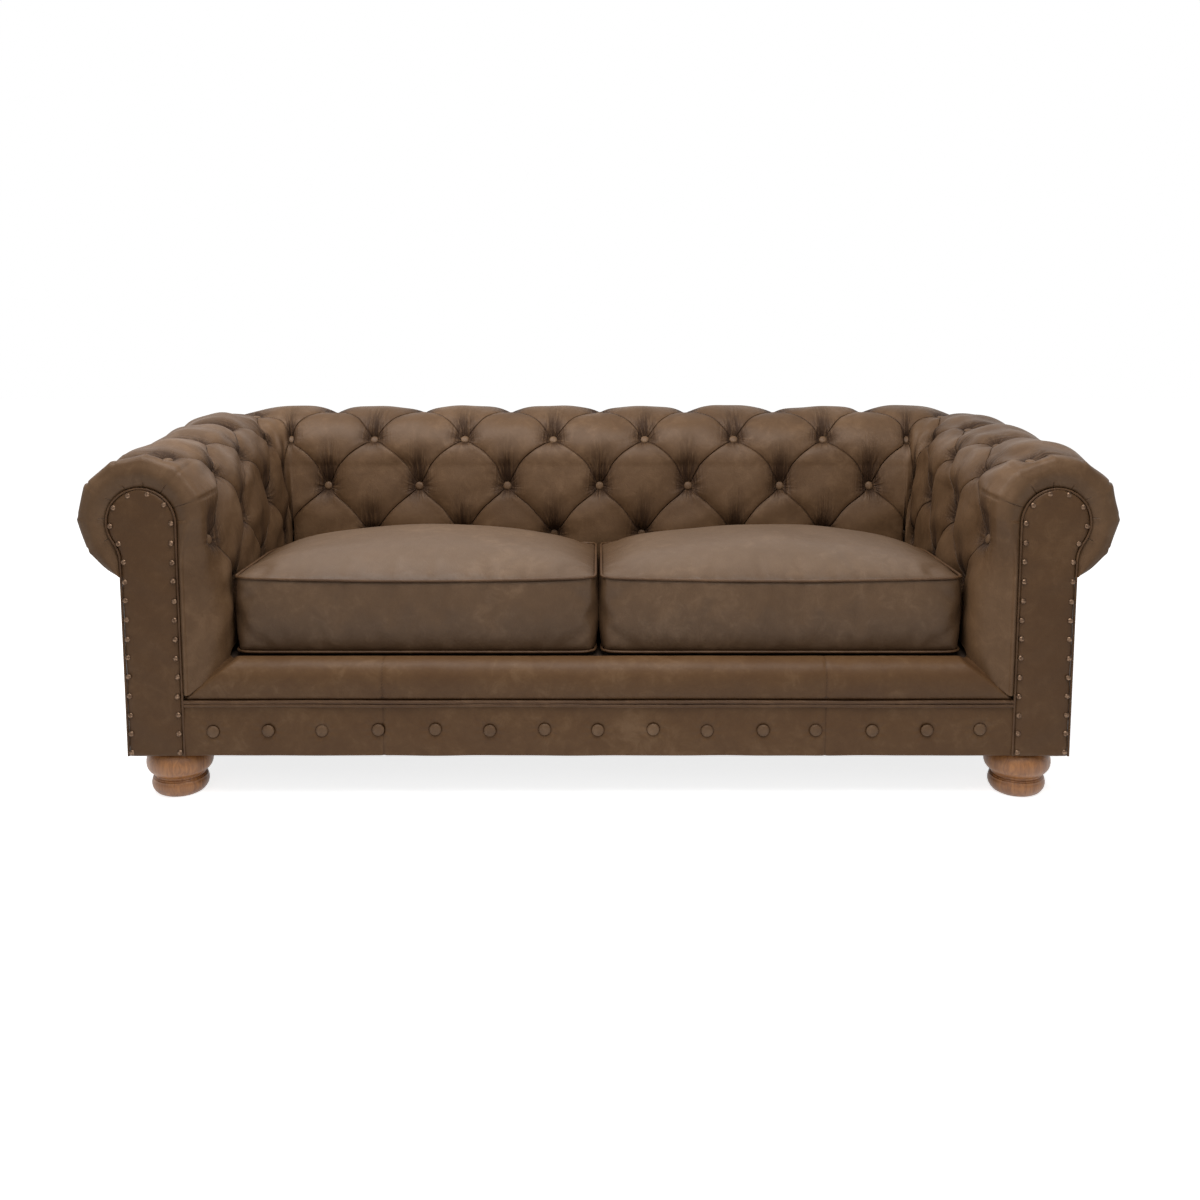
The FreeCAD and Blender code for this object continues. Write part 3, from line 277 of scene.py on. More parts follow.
@dataclass(frozen=True)
class Leather:
    """Waxed pull-up leather: mottled, worn lighter on its crests, with shade painted darker in its creases.
    """

    name: str
    middle: Colour = linear(86, 63, 42)
    dark: Colour = linear(72, 51, 32)
    light: Colour = linear(104, 80, 58)
    # crease is the dark colour painted as shade in creases, pits and button rings, and drawn along seams.
    crease: Colour = linear(38, 21, 8)
    roughness: float = 0.47
    relief: Relief = Relief.PLAIN
    tuft_across: float = 171.0
    tuft_pitch: float = 235.0
    row_height: float = 125.0
    pleat_width: float = 70.0
    crease_width: float = 1.4
    crease_depth: float = 2.2
    lip_width: float = 16.0
    lip_height: float = 3.0
    wrinkle_reach: float = 31.0
    wrinkle_depth: float = 17.0
    # How far the strongest seam marks take the crease colour: real seam lines, and painted shade round
    # buttons and in tucks.
    seam_and_shade_darkness: float = 0.62
    shine: float = 0.17
    # The next four fields lighten a band along the top: a painted highlight together with wear.
    worn: Colour = linear(150, 132, 116)
    highlight_and_wear_above: Optional[float] = None
    highlight_and_wear_band: float = 0.035
    highlight_and_wear_share: float = 0.13

    def folds(self, shade: Shade) -> tuple[Value, Value]:
        """The folded pleats between buttons and the fine wrinkles round each button.

        Args:
            shade: the material being built.

        Returns:
            The relief in millimetres and a mask of painted shade along the creases and round the buttons.
        """
        first = shade.attribute("tuft_first")
        second = shade.attribute("tuft_second")
        over = shade.attribute("tuft_over")
        beyond = shade.attribute("tuft_beyond")
        wave = (shade.noise(9.0, 2.0) - 0.5) * 7.0
        apart_first = first - first.to_nearest()
        apart_second = second - second.to_nearest()
        turn = shade.attribute("pleat_turn")
        ahead = beyond.size().fading(0.11)
        runs = [(apart_first * self.tuft_across, ahead), (apart_second * self.tuft_across, ahead),
                ((turn - turn.to_nearest()) * self.pleat_width, shade.attribute("pleat_strength"))]
        folded = shade.noise(14.0, 2.0).between(0.3, 0.62) * 0.6 + 0.35
        relief = None
        painted_shade = None
        for distance, strength in runs:
            distance = distance + wave
            side = distance.between(-self.crease_width, self.crease_width)
            lip = side * distance.size().fading(self.lip_width) * self.lip_height
            line = distance.size().fading(self.crease_width)
            fold = (lip - line * self.crease_depth) * strength
            # Painted shade: a dark line drawn along each crease.
            shade_line = line * strength * folded
            relief = fold if relief is None else relief + fold
            painted_shade = shade_line if painted_shade is None else shade.math("MAXIMUM", painted_shade, shade_line)
        sideways = (apart_first + apart_second) * (0.5 * self.tuft_pitch) + beyond * self.tuft_pitch
        upright = (apart_second - apart_first - over) * self.row_height
        above = shade.math("MAXIMUM", upright, 0.0) * 0.42 + shade.math("MINIMUM", upright, 0.0) * 1.15
        reach = shade.math("SQRT", sideways * sideways + upright * upright + 4.0)
        near = shade.math("SQRT", sideways * sideways + above * above).fading(self.wrinkle_reach)
        own = first.to_nearest() * 3.7 + second.to_nearest() * 5.3
        radial = shade.noise(3.4, 3.0, 0.6, at=shade.vector(
            sideways / reach * 1.5 + own, upright / reach * 1.5, reach * 0.006))
        drawn = shade.noise(1.0, 3.0, 0.6, at=shade.vector(sideways * 0.17 + own, upright * 0.012, own))
        streaks = radial * 0.45 + drawn * 0.55
        relief = relief + (streaks - 0.5) * near * self.wrinkle_depth
        # Painted shade in the pit round each button, streaked along its wrinkles and reaching further above
        # it.
        painted_shade = painted_shade * 0.7 + ((0.56 - streaks).between(-0.05, 0.09) * 1.15 + 0.25) * near
        return relief, shade.math("MINIMUM", painted_shade, 1.0)

    def material(self) -> bpy.types.Material:
        """Builds the leather's material."""
        shade = Shade(bpy.data.materials.new(self.name))
        patches = shade.noise(5.5, 4.0, 0.62, 0.4)
        mottle = shade.noise(31.0, 6.0, 0.66, 0.6)
        fine = shade.noise(150.0, 3.0, 0.6)
        scuffs = shade.noise(58.0, 8.0, 0.72, 2.2).between(0.6, 0.72)
        tone = patches * 0.55 + mottle * 0.35 + fine * 0.1
        colour = shade.mix(tone.between(0.34, 0.66), self.dark, self.middle)
        colour = shade.mix((patches * 0.5 + mottle * 0.5).between(0.5, 0.72) * 0.7, colour, self.light)
        colour = shade.mix(scuffs * 0.22, colour, self.light)
        grain = shade.cells(560.0)
        wrinkles = shade.noise(85.0, 5.0, 0.6, 1.2)
        height = grain * 0.10 + wrinkles * 0.55 + shade.noise(16.0, 2.0) * 1.6
        roughness = self.roughness - (mottle - 0.5) * 0.16 + (fine - 0.5) * 0.1
        if self.relief is Relief.TUFTED:
            relief, painted_shade = self.folds(shade)
            crown = shade.attribute("crown")
            worn = crown.between(0.55, 1.05) * (0.35 + mottle * 0.5)
            colour = shade.mix(worn * 0.45, colour, self.light)
            # Painted shade: darker towards the hollows, by the crown height.
            colour = shade.mix((1.0 - crown).between(0.45, 1.15) * 0.75, colour, self.dark)
            # Painted shade: the crease colour along the creases and in the pits round the buttons.
            colour = shade.mix(painted_shade * 0.8, colour, self.crease)
            height = height + relief
            roughness = roughness + painted_shade * 0.2
        if self.relief is Relief.PUCKERED:
            seam = shade.attribute("seam")
            height = height + seam * (shade.noise(40.0, 3.0, 0.5) - 0.5) * 3.0
            # Darker along the seams; the strongest marks take the crease colour. On the border this paints
            # shade in a ring round each button, and on the edge roll in its tucked ends.
            colour = shade.mix(seam * 0.3, colour, self.dark)
            colour = shade.mix(seam.between(0.45, 1.0) * self.seam_and_shade_darkness, colour, self.crease)
        # A painted highlight together with wear: the top band turned lighter.
        if self.highlight_and_wear_above is not None:
            highlight_and_wear_top = shade.axis(2).between(self.highlight_and_wear_above, self.highlight_and_wear_above + self.highlight_and_wear_band)
            colour = shade.mix(highlight_and_wear_top * self.highlight_and_wear_share, colour, self.worn)
        return shade.surface(colour, roughness, height, shine=self.shine)


@dataclass(frozen=True)
class Wood:
    """Turned or sawn wood with its grain along one axis."""

    name: str
    pale: Colour
    deep: Colour
    grain: Point = (26.0, 26.0, 2.2)
    roughness: float = 0.42

    def material(self) -> bpy.types.Material:
        """Builds the wood's material."""
        shade = Shade(bpy.data.materials.new(self.name))
        along = shade.stretched(self.grain)
        rings = shade.noise(4.0, 6.0, 0.62, 1.4, at=along)
        pores = shade.noise(26.0, 3.0, 0.7, at=along)
        worn = shade.noise(20.0, 5.0, 0.6)
        colour = shade.mix(rings.between(0.32, 0.68), self.deep, self.pale)
        colour = shade.mix(pores.between(0.58, 0.72) * 0.35, colour, self.deep)
        colour = shade.mix(worn.between(0.52, 0.75) * 0.3, colour, self.pale)
        roughness = self.roughness + (worn - 0.5) * 0.2
        return shade.surface(colour, roughness, rings * 0.25 + pores * 0.12, coat=0.12)


@dataclass(frozen=True)
class Metal:
    """Cast or drawn metal with a patina."""

    name: str
    bright: Colour
    dull: Colour
    roughness: float = 0.38

    def material(self) -> bpy.types.Material:
        """Builds the metal's material."""
        shade = Shade(bpy.data.materials.new(self.name))
        patina = shade.noise(240.0, 4.0, 0.65).between(0.38, 0.64)
        colour = shade.mix(patina, self.dull, self.bright)
        roughness = self.roughness + patina * -0.1 + 0.05
        return shade.surface(colour, roughness, shade.noise(700.0) * 0.05, metallic=1.0)


@dataclass(frozen=True)
class Cloth:
    """Plain woven cloth."""

    name: str
    base: Colour
    thread: Colour
    threads: float = 900.0

    def material(self) -> bpy.types.Material:
        """Builds the cloth's material."""
        shade = Shade(bpy.data.materials.new(self.name))
        warp, weft, upright = (shade.math("SINE", shade.axis(i) * self.threads) for i in range(3))
        weave = (warp * weft + weft * upright + upright * warp) * 0.33 + 0.5
        colour = shade.mix(weave * 0.6 + shade.noise(30.0) * 0.4, self.base, self.thread)
        return shade.surface(colour, 0.9, weave * 0.15, shine=0.2)


# Modelling helpers

def deselect() -> None:
    """Leaves edit mode and selects nothing."""
    if bpy.context.object is not None and bpy.context.object.mode != "OBJECT":
        bpy.ops.object.mode_set(mode="OBJECT")
    bpy.ops.object.select_all(action="DESELECT")


def only(thing: bpy.types.Object) -> bpy.types.Object:
    """Selects one object and makes it active."""
    deselect()
    thing.select_set(True)
    bpy.context.view_layer.objects.active = thing
    return thing


def settled(thing: bpy.types.Object, name: str) -> bpy.types.Object:
    """Names an object and moves its place, turn and scale into its mesh."""
    only(thing)
    bpy.ops.object.transform_apply(location=True, rotation=True, scale=True)
    thing.name = name
    thing.data.name = name
    return thing


@contextmanager
def editing(thing: bpy.types.Object) -> Iterator[None]:
    """Edit mode with the whole mesh selected, and object mode again afterwards."""
    only(thing)
    bpy.ops.object.mode_set(mode="EDIT")
    bpy.ops.mesh.select_all(action="SELECT")
    yield
    bpy.ops.object.mode_set(mode="OBJECT")


def points_of(thing: bpy.types.Object) -> Array:
    """A mesh's points as an array."""
    found = np.empty(len(thing.data.vertices) * 3, dtype=np.float32)
    thing.data.vertices.foreach_get("co", found)
    return found.reshape(-1, 3).astype(float)


def place_points(thing: bpy.types.Object, points: Array) -> None:
    """Moves every point of a mesh to the given places."""
    thing.data.vertices.foreach_set("co", np.ascontiguousarray(points, dtype=np.float32).ravel())
    thing.data.update()


def shaped_sheet(name: str, x: Array, y: Array, z: Array) -> bpy.types.Object:
    """A sheet of squares whose points, row by row, have the given places."""
    rows, columns = x.shape
    deselect()
    bpy.ops.mesh.primitive_grid_add(x_subdivisions=columns - 1, y_subdivisions=rows - 1, size=1.0)
    sheet = settled(bpy.context.object, name)
    place_points(sheet, np.stack([x, y, z], axis=-1))
    return sheet


def store(thing: bpy.types.Object, name: str, numbers: Array) -> None:
    """Stores one number per point under a name, for the material."""
    attribute = thing.data.attributes.new(name, "FLOAT", "POINT")
    attribute.data.foreach_set("value", np.ascontiguousarray(numbers, dtype=np.float32).ravel())


def face_outwards(thing: bpy.types.Object, weld: float = 1e-5) -> None:
    """Merges doubled points and turns all faces outwards."""
    with editing(thing):
        bpy.ops.mesh.remove_doubles(threshold=weld)
        bpy.ops.mesh.normals_make_consistent(inside=False)


def turn_towards(sheet: bpy.types.Object, direction: Point) -> None:
    """Turns a sheet's faces over where, taken together, they look away from a direction."""
    total = sum((face.normal * face.area for face in sheet.data.polygons), Vector())
    if total.dot(Vector(direction)) < 0:
        with editing(sheet):
            bpy.ops.mesh.flip_normals()


def smooth(thing: bpy.types.Object, angle: float = 180.0) -> None:
    """Shades smooth, keeping edges sharper than the angle."""
    only(thing)
    if angle >= 180:
        bpy.ops.object.shade_smooth()
    else:
        bpy.ops.object.shade_smooth_by_angle(angle=math.radians(angle))


def joined(name: str, things: Sequence[bpy.types.Object]) -> bpy.types.Object:
    """Joins several objects into one."""
    deselect()
    for thing in things:
        thing.select_set(True)
    bpy.context.view_layer.objects.active = things[0]
    if len(things) > 1:
        bpy.ops.object.join()
    whole = bpy.context.object
    whole.name = name
    whole.data.name = name
    return whole


def copies(name: str, model: bpy.types.Object, places: Sequence[Matrix]) -> bpy.types.Object:
    """Copies a model to several places as one object and removes the model."""
    made = []
    for place in places:
        twin = model.copy()
        twin.data = model.data.copy()
        twin.data.transform(place)
        bpy.context.collection.objects.link(twin)
        made.append(twin)
    bpy.data.objects.remove(model)
    return joined(name, made)


def draw_up(profile: Sequence[tuple[float, float]]) -> None:
    """Turns the selected flat face into a round body by drawing it up through radii and heights.

    Args:
        profile: pairs of radius, in any unit, and height; the first is where the face is already.
    """
    radius, level = profile[0]
    for wide, z in profile[1:]:
        bpy.ops.mesh.extrude_region_move(TRANSFORM_OT_translate={"value": (0.0, 0.0, z - level)})
        bpy.ops.transform.resize(value=(wide / radius, wide / radius, 1.0), center_override=(0.0, 0.0, z))
        radius, level = wide, z


def cord_along(name: str, points: Sequence[Sequence[float]], radius: float,
               closed: bool = False) -> bpy.types.Object:
    """A round welt along a run of points, as a mesh."""
    deselect()
    bpy.ops.curve.primitive_bezier_curve_add()
    curve = bpy.context.object
    curve.location = (0.0, 0.0, 0.0)
    curve.data.splines.clear()
    spline = curve.data.splines.new("POLY")
    spline.points.add(len(points) - 1)
    for spot, point in zip(spline.points, points):
        spot.co = (*point, 1.0)
    spline.use_cyclic_u = closed
    curve.data.dimensions = "3D"
    curve.data.bevel_depth = radius
    curve.data.bevel_resolution = 3
    curve.data.use_fill_caps = True
    only(curve)
    bpy.ops.object.convert(target="MESH")
    made = settled(bpy.context.object, name)
    face_outwards(made)
    smooth(made, 60.0)
    return made


def drift(points: Array, scale: float, seed: int, waves: int = 7) -> Array:
    """Gentle random swell, about -1 to 1, over points in metres; scale is waves per metre."""
    chance = np.random.default_rng(seed)
    total = np.zeros(points.shape[:-1])
    for _ in range(waves):
        direction = chance.normal(size=3)
        direction *= scale * 2 * math.pi * chance.uniform(0.6, 1.4) / np.linalg.norm(direction)
        total += np.sin(points @ direction + chance.uniform(0, 2 * math.pi))
    return total / math.sqrt(waves)


def laid_flat(across: Array, up: Array) -> Array:
    """A sheet's places laid out flat, for a swell to read."""
    return np.stack([across, up, 0 * across], axis=-1)


def eased(share: Array) -> Array:
    """Smooth step from 0 to 1."""
    share = np.clip(share, 0.0, 1.0)
    return share * share * (3 - 2 * share)


def dress(thing: bpy.types.Object, material: bpy.types.Material, body: str, stands_for: Sequence[str]) -> bpy.types.Object:
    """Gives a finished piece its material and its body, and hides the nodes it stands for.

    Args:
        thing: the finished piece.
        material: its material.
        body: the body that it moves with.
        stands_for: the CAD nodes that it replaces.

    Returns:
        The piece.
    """
    thing.data.materials.clear()
    thing.data.materials.append(material)
    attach(thing, body)
    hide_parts(*stands_for)
    log.info("%s: %d faces", thing.name, len(thing.data.polygons))
    return thing


# The rolled, deep-buttoned arms and back

@dataclass
class TuftedPadding:
    """One padded cover carried round both arms and the back, drawn in by buttons on a diamond lattice."""

    roll_x: float = 0.958
    roll_y: float = 0.339
    roll_z: float = 0.618
    corner: float = 0.166
    front_y: float = -0.476
    crest: float = 0.140
    crease: float = 0.121
    pitch: float = 0.235
    row_height: float = 0.125
    stations: int = 14
    back_stations: int = 8
    back_angle: float = 86.0
    arm_angle: float = 68.0
    second_angle: float = 32.5
    third_z: float = 0.561
    fourth_z: float = 0.437
    bottom_z: float = 0.312
    wall_crest: float = 0.160
    wall_crease: float = 0.137
    end_angle: float = 249.0
    end_radius: float = 0.133
    arc_end_row: float = 1.683
    front_round: float = 0.070
    front_roll: float = 0.121
    front_wall: float = 0.088
    crease_rise: float = 0.46
    fullness: float = 0.50
    arm_slack: float = 1.6
    dimple: float = 0.38
    bow: float = 0.050
    spacing: float = 0.0048
    cap_columns: int = 16
    facing_radius: float = 0.074
    head_z: float = 0.609
    facing_outer: float = 0.048
    neck_angle: float = 215.0
    neck_s: float = -0.0606
    neck_z: float = 0.5666
    waist_z: float = 0.4950
    mitre_z: float = 0.226
    mitre_depth: float = 0.108
    mitre_rise: float = 0.084
    pleat_start: float = 19.0
    pleat_pitch: float = 32.0
    warp: float = 0.0035
    button_lift: float = 0.004
    straight: float = field(init=False)
    bend: float = field(init=False)
    arm_start: float = field(init=False)
    arm_front: float = field(init=False)

    def __post_init__(self) -> None:
        """Works out the centre line's lengths."""
        self.straight = self.roll_x - self.corner
        self.bend = self.corner * math.pi / 2
        self.arm_start = self.roll_y - self.corner
        self.arm_front = self.straight + self.bend + self.arm_start - self.front_y

    def on_line(self, along: Array, inward: Array, z: Array) -> Array:
        """Points at distances along the centre line, inward of it and up."""
        run = np.abs(along)
        turn = np.clip(run - self.straight, 0.0, self.bend) / self.corner
        reach = self.corner - inward
        x = -np.minimum(run, self.straight) - reach * np.sin(turn)
        y = self.arm_start - np.maximum(run - self.straight - self.bend, 0.0) + reach * np.cos(turn)
        return np.stack([np.where(along < 0, -x, x), y, z + 0 * along], axis=-1)

    def first_angle(self, along: Array) -> Array:
        """Where the first row of buttons lies on the roll, in degrees from the inward side."""
        share = np.clip((np.abs(along) - self.straight) / self.bend, 0.0, 1.0)
        return self.back_angle + (self.arm_angle - self.back_angle) * share

    def section(self, along: Array, row: Array, height: Array, low_z: Array) -> tuple[Array, Array]:
        """Inward distance and height of the surface.

        Args:
            along: distance along the centre line.
            row: row of buttons, with fractions.
            height: 0 in a crease, 1 on a crest.
            low_z: where the cover ends at the bottom.

        Returns:
            Inward distance and z.
        """
        start = self.first_angle(along)
        outer = start + (self.end_angle - start) * -row / 3
        arc = np.where(row <= 0, outer, start + (self.second_angle - start) * row)
        arc = np.where(row > 1, self.second_angle * (self.arc_end_row - row) / (self.arc_end_row - 1), arc)
        flat = np.clip((arc - 200) / (self.end_angle - 200), 0, 1)
        crest = self.crest + (self.end_radius - self.crest) * flat
        crease = self.crease + (self.end_radius - self.crease) * flat
        radius = crease + (crest - crease) * height
        roll_s = radius * np.cos(np.radians(arc))
        roll_z = self.roll_z + radius * np.sin(np.radians(arc))
        past = row - self.arc_end_row
        upper = self.roll_z + (self.third_z - self.roll_z) * past / (2 - self.arc_end_row)
        middle = self.third_z + (self.fourth_z - self.third_z) * (row - 2)
        lower = self.fourth_z + (low_z - self.fourth_z) * (row - 3)
        z = np.where(row <= 2, upper, np.where(row <= 3, middle, lower))
        drop = self.roll_z - z
        share = np.sin(np.pi / 2 * np.clip(drop / 0.150, 0, 1))
        crest = self.crest + (self.wall_crest - self.crest) * share
        crease = self.crease + (self.wall_crease - self.crease) * share
        crease = crease + 0.012 * np.clip((self.fourth_z - z) / (self.fourth_z - self.bottom_z), 0, 1)
        wall_s = crease + (crest - crease) * height
        on_wall = row > self.arc_end_row
        return np.where(on_wall, wall_s, roll_s), np.where(on_wall, z, roll_z)

    def lattice(self, along: Array, row: Array) -> tuple[Array, Array, Array]:
        """Places on the diamond lattice.

        Args:
            along: distance along the centre line.
            row: row of buttons, with fractions.

        Returns:
            Two numbers, both whole at a button, and how far the place lies past the last buttons, in
            pitches.
        """
        true = along / self.pitch
        last = self.stations / 2
        across = np.clip(true, -last, last)
        across = across + (true - across) * np.clip(-row / 0.4, 0.0, 1.0)
        held = np.clip(row, 0.0, 3.0)
        first, second = across + held / 2, across - held / 2
        inside = eased(1 - (np.abs(true) - (last - 0.4)) / 0.4)
        rise = self.bow * inside * (1 - eased(-row / 0.2)) * (1 - eased((row - 3) / 0.2))
        bowed = first + rise * np.sin(np.pi * second) ** 2, second - rise * np.sin(np.pi * first) ** 2
        return *bowed, true - across

    def height(self, along: Array, row: Array) -> Array:
        """0 in a crease, 1 at the middle of a diamond, below 0 under a button."""
        first, second, beyond = self.lattice(along, row)
        hills = []
        for number in (first, second):
            share = number % 1.0
            hills.append(np.clip(4 * share * (1 - share), 0.0, 1.0))
        rise = self.crease_rise * np.maximum(hills[0], hills[1]) ** 0.8
        height = rise + (1 - rise) * (hills[0] * hills[1]) ** self.fullness
        apart_first = first - np.round(first)
        apart_second = second - np.round(second)
        sideways = ((apart_first + apart_second) / 2 + beyond) * self.pitch
        upright = (apart_second - apart_first - row + np.clip(row, 0.0, 3.0)) * self.row_height
        near = np.exp(-(sideways ** 2 + upright ** 2) / 0.019 ** 2)
        pit = np.exp(-(sideways / 0.021) ** 2 - (upright / np.where(upright > 0, 0.046, 0.016)) ** 2)
        height = height - self.dimple * near - 0.30 * pit * np.clip((row - 0.3) / 0.5, 0.25, 1)
        ahead = eased((np.abs(along) / self.pitch - (self.stations / 2 + 0.03)) / 0.17)
        return height + (0.85 - height) * 0.9 * ahead

    def warped(self, along: Array, row: Array) -> Array:
        """Small sideways wander of the creases and buttons."""
        return along + self.warp * drift(laid_flat(along, row * self.row_height), 2.6, 11)

    def facing_point(self, angle: Array, on_wall: Array, z: Array) -> tuple[Array, Array]:
        """Where the arm's facing begins, for an angle on the roll or a height on the wall."""
        turn = np.clip(angle, 0.0, self.neck_angle)
        s = self.facing_radius * np.cos(np.radians(turn))
        up = self.head_z + self.facing_radius * np.sin(np.radians(turn))
        share = np.clip((angle - self.neck_angle) / (self.end_angle - self.neck_angle), 0, 1)
        below_s = self.neck_s + (-self.facing_outer - self.neck_s) * np.clip(share * 1.8, 0, 1)
        below_z = self.neck_z + (self.waist_z - self.neck_z) * share
        s = np.where(angle > self.neck_angle, below_s, s)
        up = np.where(angle > self.neck_angle, below_z, up)
        return np.where(on_wall, self.facing_radius, s), np.where(on_wall, z, up)

    def pleated(self, angle: Array, depth: Array) -> Array:
        """How far the leather gathered round an arm's front stands out, by angle and depth."""
        share = ((angle - self.pleat_start) / self.pleat_pitch) % 1.0
        half_pleat = np.radians(self.pleat_pitch / 2)
        chord = np.cos(half_pleat) / np.cos(np.radians((share - 0.5) * self.pleat_pitch))
        seam = np.exp(-(share / 0.05) ** 2) + np.exp(-((1 - share) / 0.05) ** 2)
        fold = 0.0030 * (1 - share) ** 3 - 0.0040 * seam
        strength = 1 - eased((depth - 0.030) / 0.110)
        return ((chord - 1) * 0.115 + 0.004 + fold) * strength

    def surface(self, along: Array, row: Array, cap: Array) -> tuple[Array, Array]:
        """Every point of the cover.

        Args:
            along: distance along the centre line.
            row: row of buttons.
            cap: 0 on the cover, up to 1 at the facing on the columns that close an arm's front.

        Returns:
            Points, and the height from 0 in a crease to 1 on a crest.
        """
        depth = np.maximum(self.arm_front - np.abs(along), 0.0)
        wander = self.warped(along, row)
        height = self.height(wander, row)
        flat = laid_flat(along, row * self.row_height)
        slack = 1 + self.arm_slack * eased((np.abs(along) - self.straight) / 0.2)
        height = height * (1 + 0.07 * slack * drift(flat, 4.0, 3)) + 0.05 * slack * drift(flat, 11.0, 5)
        round_share = np.sqrt(np.clip(1 - (1 - depth / self.front_round) ** 2, 0, 1))
        round_share = np.where(depth > self.front_round, 1.0, round_share)
        wall_reach = self.front_wall + (self.wall_crest - self.front_wall) * round_share
        mitre_z = self.mitre_z + (wall_reach - self.facing_radius) / self.mitre_depth * self.mitre_rise
        low_z = mitre_z + (self.bottom_z - mitre_z) * eased((depth - 0.035) / 0.06)
        low_z = np.minimum(low_z, self.bottom_z)
        s, z = self.section(along, row, height, low_z)
        angle = np.degrees(np.arctan2(z - self.roll_z, s)) % 360
        angle = np.where(angle > 300, 0.0, angle)
        on_wall = row > self.arc_end_row
        angle = np.where(on_wall, 0.0, angle)
        flattened = np.clip((angle - 180.0) / (self.end_angle - 180.0), 0, 1)
        radius = self.front_roll + (self.end_radius - self.front_roll) * flattened
        share = np.sin(np.pi / 2 * np.clip((self.roll_z - z) / 0.100, 0, 1))
        front_s = np.where(on_wall, self.front_roll + (self.front_wall - self.front_roll) * share,
                           radius * np.cos(np.radians(angle)))
        front_z = np.where(on_wall, z, self.roll_z + radius * np.sin(np.radians(angle)))
        s = front_s + (s - front_s) * round_share
        z = front_z + (z - front_z) * round_share
        out = self.pleated(angle, depth) * np.clip((self.end_angle - 10 - angle) / 30, 0, 1) * ~on_wall
        s = s + out * np.cos(np.radians(angle))
        z = z + out * np.sin(np.radians(angle))
        edge_s, edge_z = self.facing_point(angle, on_wall, z)
        s = s + (edge_s - s) * cap
        z = z + (edge_z - z) * cap
        points = self.on_line(along, s, z)
        swell = np.sin(np.pi * np.clip(cap * 1.25, 0, 1)) ** 1.2
        tuck = np.clip((cap - 0.72) / 0.28, 0, 1) ** 2
        points[..., 1] += np.where(cap > 0, 0.0065 * tuck - 0.006 * swell, 0.0)
        return points, height

    def front_pleats(self, along: Array, points: Array) -> tuple[Array, Array]:
        """Where the gathered pleats of an arm's front lie.

        Args:
            along: distance along the centre line.
            points: the cover's points.

        Returns:
            The turn round the roll in pleats, whole on a pleat, and the pleat's strength from 0 to 1.
        """
        s = self.roll_x - np.abs(points[..., 0])
        angle = np.degrees(np.arctan2(points[..., 2] - self.roll_z, s)) % 360
        turn = (angle - self.pleat_start) / self.pleat_pitch
        out = np.hypot(s, points[..., 2] - self.head_z) - self.facing_radius
        longest = 0.052 - 0.034 * eased(np.abs(turn) / 2)
        strength = 1 - eased((out - longest * 0.5) / (longest * 0.5))
        near = (np.abs(along) > self.arm_front - 0.08) & (angle > 5) & (angle < 232)
        return turn, 0.75 * strength * near

    def rows(self) -> Array:
        """Rows of points down the cover, evenly spaced on the surface."""
        spans = ((-3.0, 0.0, 0.400), (0.0, 1.0, 0.112), (1.0, 2.0, 0.128), (2.0, 3.0, 0.139),
                 (3.0, 4.0, 0.126))
        levels = [np.array([-3.0])]
        for low, high, length in spans:
            count = round(length / self.spacing)
            levels.append(np.linspace(low, high, count + 1)[1:])
        return np.concatenate(levels)

    def build(self) -> bpy.types.Object:
        """Builds the cover as one sheet from one arm's facing to the other's."""
        columns = round(2 * self.arm_front / self.spacing)
        along = np.linspace(-self.arm_front, self.arm_front, columns + 1)
        caps = np.linspace(0, 1, self.cap_columns + 1)[1:]
        along = np.concatenate([np.full(self.cap_columns, -self.arm_front), along,
                                np.full(self.cap_columns, self.arm_front)])
        cap = np.concatenate([caps[::-1], np.zeros(columns + 1), caps])
        a, r = np.meshgrid(along, self.rows())
        points, height = self.surface(a, r, np.broadcast_to(cap, a.shape))
        cover = shaped_sheet("tufted_cover", *np.moveaxis(points, -1, 0))
        first, second, beyond = self.lattice(self.warped(a, r), r)
        turn, strength = self.front_pleats(a, points)
        for name, numbers in (
                ("tuft_first", first), ("tuft_second", second), ("tuft_beyond", beyond),
                ("pleat_turn", turn), ("pleat_strength", strength),
                ("tuft_over", r - np.clip(r, 0, 3)), ("crown", np.clip(height, 0, 1.1))):
            store(cover, name, numbers)
        turn_towards(cover, (0.0, -1.0, 0.0))
        smooth(cover)
        return cover

    def button(self, station: int, row: int) -> Matrix:
        """One button's place, standing along the surface's normal."""
        mark = station * self.pitch / 2
        along = mark
        for _ in range(4):
            along -= float(self.warped(np.array(along), np.array(float(row)))) - mark
        step = 0.012
        a = np.array([along, along - step, along + step, along, along])
        r = np.array([row, row, row, row - 0.09, row + 0.09], dtype=float)
        points, _ = self.surface(a, r, np.zeros(5))
        side = Vector(points[2] - points[1])
        down = Vector(points[4] - points[3])
        normal = side.cross(down).normalized()
        centre, above = self.on_line(np.full(2, along), np.array([0.0, 0.10]), np.array([self.roll_z, 0.72]))
        if normal.dot(Vector(above - centre)) < 0:
            normal = -normal
        turn = normal.to_track_quat("Z", "Y").to_matrix().to_4x4()
        return Matrix.Translation(Vector(points[0]) + normal * self.button_lift) @ turn

    def buttons(self) -> Iterator[tuple[int, Matrix]]:
        """Every button's station, in half pitches from the middle of the back, and its place."""
        for station in range(-self.stations, self.stations + 1):
            for row in ((0, 2) if station % 2 == 0 else (1, 3)):
                yield station, self.button(station, row)


